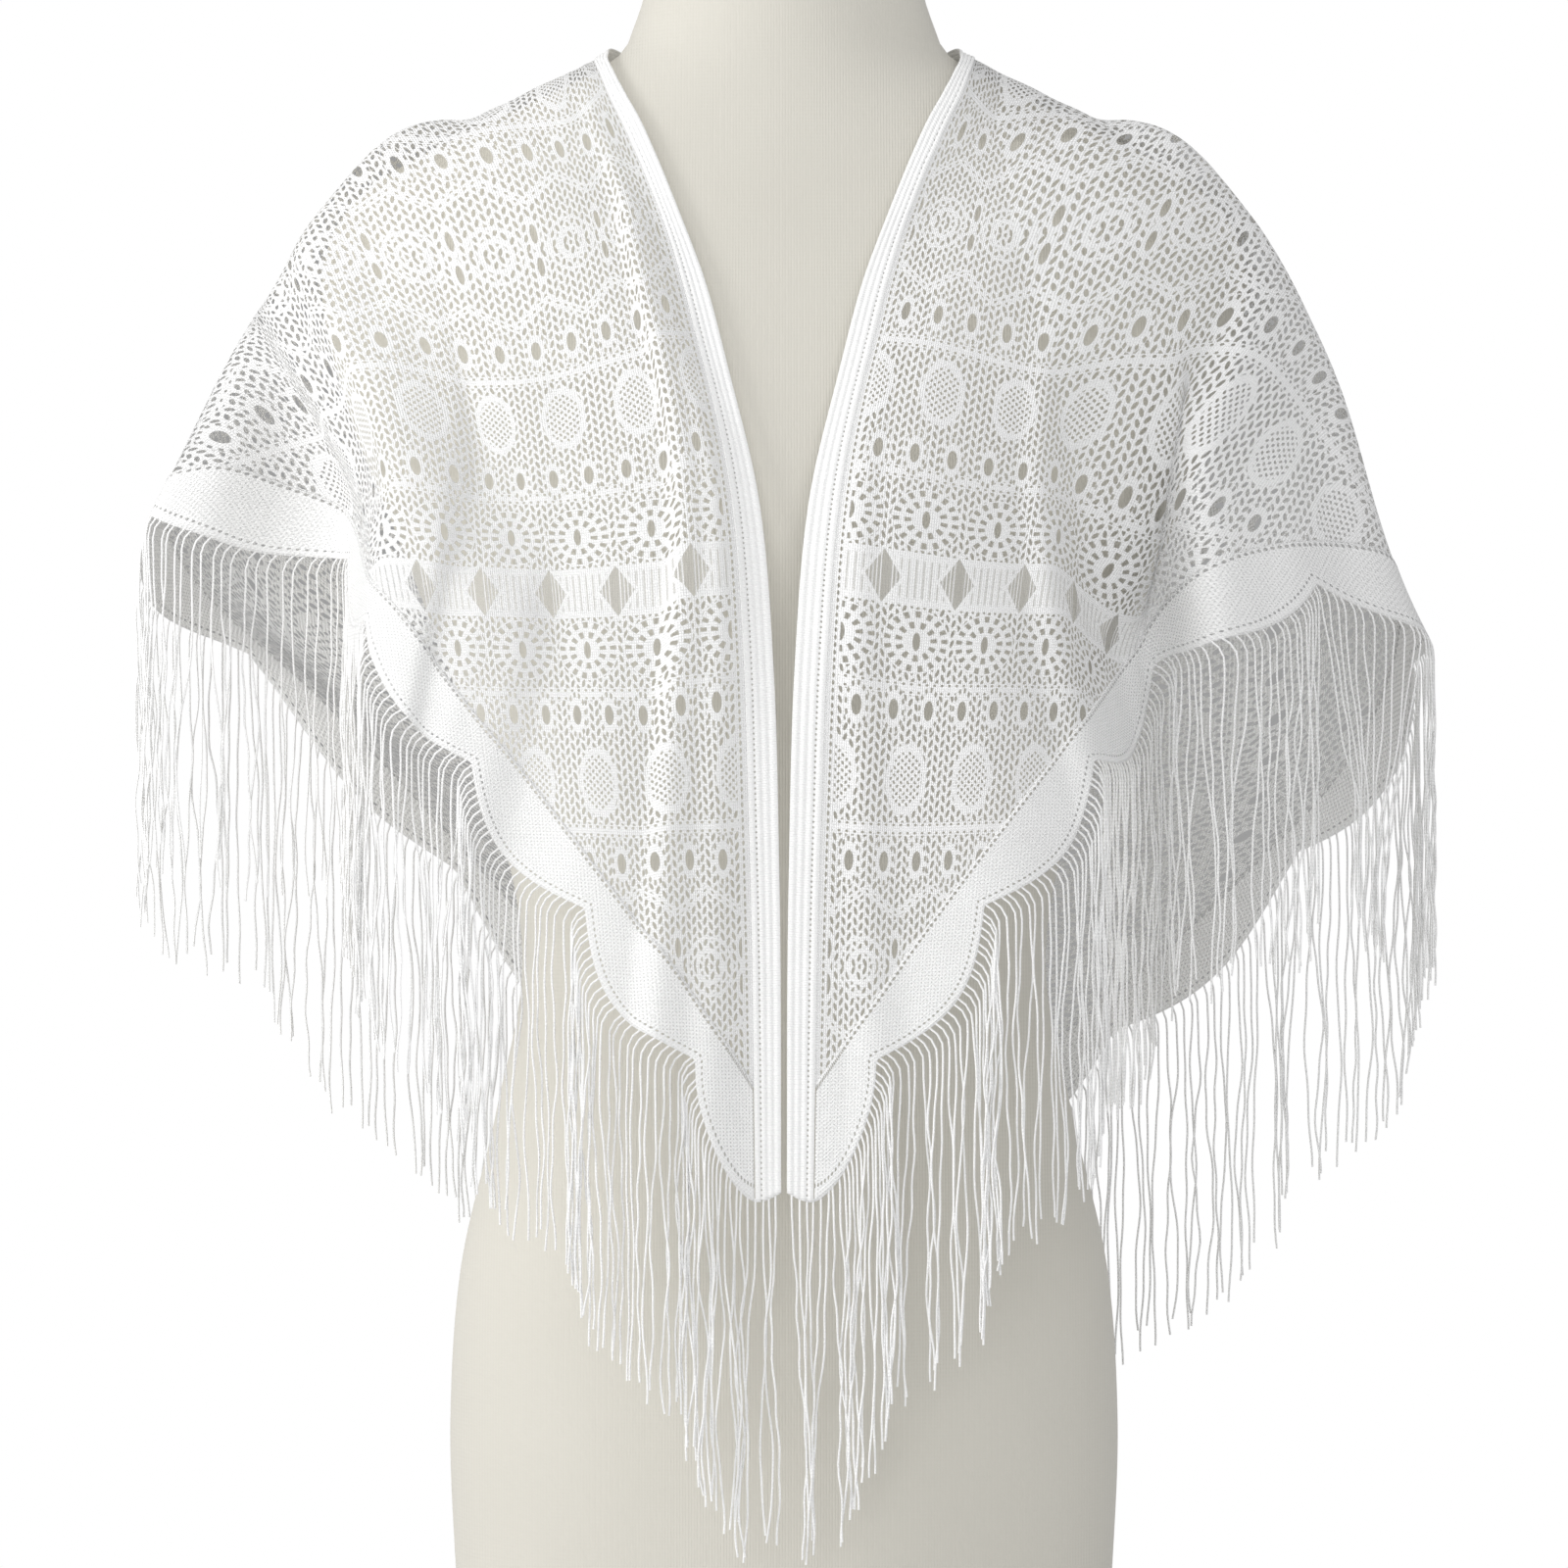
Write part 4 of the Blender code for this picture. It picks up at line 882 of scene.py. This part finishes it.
def fringe_lines(side, chance):
    """Lines of the yarns of one half, from the hem down."""
    fine_h = np.linspace(0.0005, HEM_LENGTH - 0.0005, 4000)
    edge = edge_of_hem(fine_h)
    edge_u, edge_v = hem_point(fine_h, edge)
    along = np.concatenate([[0.0], np.cumsum(np.hypot(np.diff(edge_u), np.diff(edge_v)))])
    count = int(along[-1] / FRINGE_SPACING)
    wanted = (np.arange(count) + 0.5 + chance.uniform(-0.2, 0.2, count)) * along[-1] / count
    h = np.interp(wanted, along, fine_h)
    root_u, root_v = hem_point(h, edge_of_hem(h) - ROOT_LAP)
    root, _ = laid(side * root_u, root_v, BORDER_LIFT)
    inner_u, inner_v = hem_point(h, edge_of_hem(h) - 0.0050)
    inner, _ = laid(side * inner_u, inner_v, BORDER_LIFT)
    leave = root - inner
    leave /= np.linalg.norm(leave, axis=1, keepdims=True)
    down = np.array([0.0, 0.0, -1.0])
    flatness = np.clip(1 + leave[:, 2], 0.0, 1.0)[:, None]
    turn_over = SHORT_TURN + (LONG_TURN - SHORT_TURN) * flatness**2
    length = FRINGE_LENGTH * (1 + chance.uniform(-0.06, 0.04, (count, 1)))
    bunch_of = np.cumsum(chance.uniform(0, 1, count) < NEW_BUNCH)
    bunch_middle = np.stack([np.bincount(bunch_of, root[:, k]) / np.maximum(np.bincount(bunch_of), 1)
                             for k in range(2)], axis=1)[bunch_of]
    pull = chance.uniform(0.0, STRONGEST_PULL, bunch_of.max() + 1)[bunch_of][:, None]
    phase = chance.uniform(0, 2 * math.pi, (count, 2))
    wave = chance.uniform(0.070, 0.150, (count, 1))
    swing = chance.uniform(0.0003, 0.0022, (count, 1))
    crimp_wave = chance.uniform(0.024, 0.042, (count, 1))
    crimp = chance.uniform(0.0001, 0.0005, (count, 1))
    at = root.copy()
    travelled = np.zeros((count, 1))
    lines = [root.copy()]
    for step in range(FRINGE_STEPS):
        ds = length / FRINGE_STEPS
        share = ease((travelled + ds / 2) / turn_over)
        heading = leave * (1 - share) + down * share
        at = at + ds * heading / np.linalg.norm(heading, axis=1, keepdims=True)
        travelled = travelled + ds
        fall = travelled / length
        wobble = ease(fall * 3) * (
            swing * np.sin(2 * math.pi * travelled / wave + phase)
            + crimp * np.sin(2 * math.pi * travelled / crimp_wave + 2 * phase))
        drift = (bunch_middle - root[:, :2]) * pull * ease(fall * 1.4)
        shown = at.copy()
        shown[:, :2] += wobble + drift
        lines.append(shown)
    return np.stack(lines, axis=1)


fringe_finish, at, _ = white_yarn("fringe_yarn", 40.0)
_, _, z = fringe_finish.parts(at)
twist = (z * (2 * math.pi / 0.0016)).sine() * 0.5
fringe_finish.relief(twist + fringe_finish.noise(at, 2500.0) * 0.4, 0.0002)
tree, radius_input, sides_input = yarn_tree(fringe_finish.material)
chance = np.random.default_rng(FRINGE_SEED)
for side, word in ((1, "left"), (-1, "right")):
    lines = fringe_lines(side, chance)
    yarns, points = lines.shape[:2]
    mesh = bpy.data.meshes.new(f"fringe_{word}")
    starts = np.arange(yarns)[:, None] * points + np.arange(points - 1)[None, :]
    pairs = np.stack([starts, starts + 1], axis=-1).reshape(-1, 2)
    mesh.from_pydata(lines.reshape(-1, 3).tolist(), pairs.tolist(), [])
    fringe = bpy.data.objects.new(f"fringe_{word}", mesh)
    bpy.context.scene.collection.objects.link(fringe)
    grown = fringe.modifiers.new("yarns", "NODES")
    grown.node_group = tree
    grown[radius_input] = YARN_RADIUS
    grown[sides_input] = YARN_SIDES
    keep_result(fringe)
    fringe.data.shade_smooth()
    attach(fringe, "root")
    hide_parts(*[f"fringe_{word}_{span}" for span in ("front", "side", "back")])

# Studio. A pale floor, a large soft light from the upper left, weak ones from above and from low
# in front, and weak light all round. The floor and the backdrop look plain white, and through the
# holes of the lace they are dimmed to a pale grey: painted shade.
PLAIN_WHITE = (1.0, 1.0, 1.0, 1.0)
FLOOR_SIZE = 30.0
FLOOR_WHITE = 0.90
SKY_STRENGTH = 0.53
PAINTED_SHADE_THROUGH_LACE = 0.34
# name, place, target, size, watts, colour
LIGHTS = (
    ("key_light", (-2.4, -0.9, 1.5), (0.0, 0.0, 0.45), 1.1, 40.0, (1.0, 0.995, 0.985)),
    ("fill_light", (0.8, -1.1, 2.1), (0.0, 0.0, 0.75), 1.0, 8.0, (0.98, 0.985, 1.0)),
    ("low_light", (-0.7, -3.2, 0.3), (0.0, 0.0, 0.50), 2.0, 30.0, (1.0, 1.0, 1.0)),
)
floor_finish = Finish("pale_floor", 0.9)
floor_finish.shader.inputs["Specular IOR Level"].default_value = 0.0
floor_finish.shader.inputs["Emission Color"].default_value = PLAIN_WHITE
seen = floor_finish.node("ShaderNodeLightPath", output="Is Camera Ray")
floor_finish.feed(floor_finish.shader.inputs["Base Color"], (1 - seen) * FLOOR_WHITE)
# Seen through the lace, the floor is dimmed to a pale grey: painted shade
passed = floor_finish.node("ShaderNodeLightPath", output="Transparent Depth")
shaded_behind_lace = passed.math("GREATER_THAN", passed, 0.5)
floor_finish.feed(floor_finish.shader.inputs["Emission Strength"],
                  seen * (1 - shaded_behind_lace * (1 - PAINTED_SHADE_THROUGH_LACE)))
half = FLOOR_SIZE / 2
floor = add_mesh("floor", [(-half, -half, 0), (half, -half, 0), (half, half, 0), (-half, half, 0)],
                 [(0, 1, 2, 3)], floor_finish.material)


def soft_light(name, place, target, size, power, colour):
    lamp = bpy.data.lights.new(name, "AREA")
    lamp.shape = "DISK"
    lamp.size = size
    lamp.energy = power
    lamp.color = colour
    made = bpy.data.objects.new(name, lamp)
    made.location = place
    aim = np.array(target) - np.array(place)
    made.rotation_mode = "QUATERNION"
    made.rotation_quaternion = Vector(aim).to_track_quat("-Z", "Y")
    bpy.context.scene.collection.objects.link(made)


for light in LIGHTS:
    soft_light(*light)

world = bpy.data.worlds.new("studio")
bpy.context.scene.world = world
world.use_nodes = True
sky = world.node_tree.nodes["Background"]
sky.inputs["Color"].default_value = PLAIN_WHITE
sky.inputs["Strength"].default_value = SKY_STRENGTH
backdrop = world.node_tree.nodes.new("ShaderNodeBackground")
backdrop.inputs["Color"].default_value = PLAIN_WHITE
# Seen through the lace, the backdrop is dimmed to a pale grey: painted shade
rays = world.node_tree.nodes.new("ShaderNodeLightPath")
backdrop_shade_behind_lace = world.node_tree.nodes.new("ShaderNodeMapRange")
backdrop_shade_behind_lace.inputs["To Min"].default_value = 1.0
backdrop_shade_behind_lace.inputs["To Max"].default_value = PAINTED_SHADE_THROUGH_LACE
world.node_tree.links.new(rays.outputs["Transparent Depth"], backdrop_shade_behind_lace.inputs["Value"])
world.node_tree.links.new(backdrop_shade_behind_lace.outputs[0], backdrop.inputs["Strength"])
chosen = world.node_tree.nodes.new("ShaderNodeMixShader")
world_output = world.node_tree.nodes["World Output"]
world.node_tree.links.new(rays.outputs["Is Camera Ray"], chosen.inputs[0])
world.node_tree.links.new(sky.outputs[0], chosen.inputs[1])
world.node_tree.links.new(backdrop.outputs[0], chosen.inputs[2])
world.node_tree.links.new(chosen.outputs[0], world_output.inputs["Surface"])
bpy.context.scene.view_settings.view_transform = "Standard"
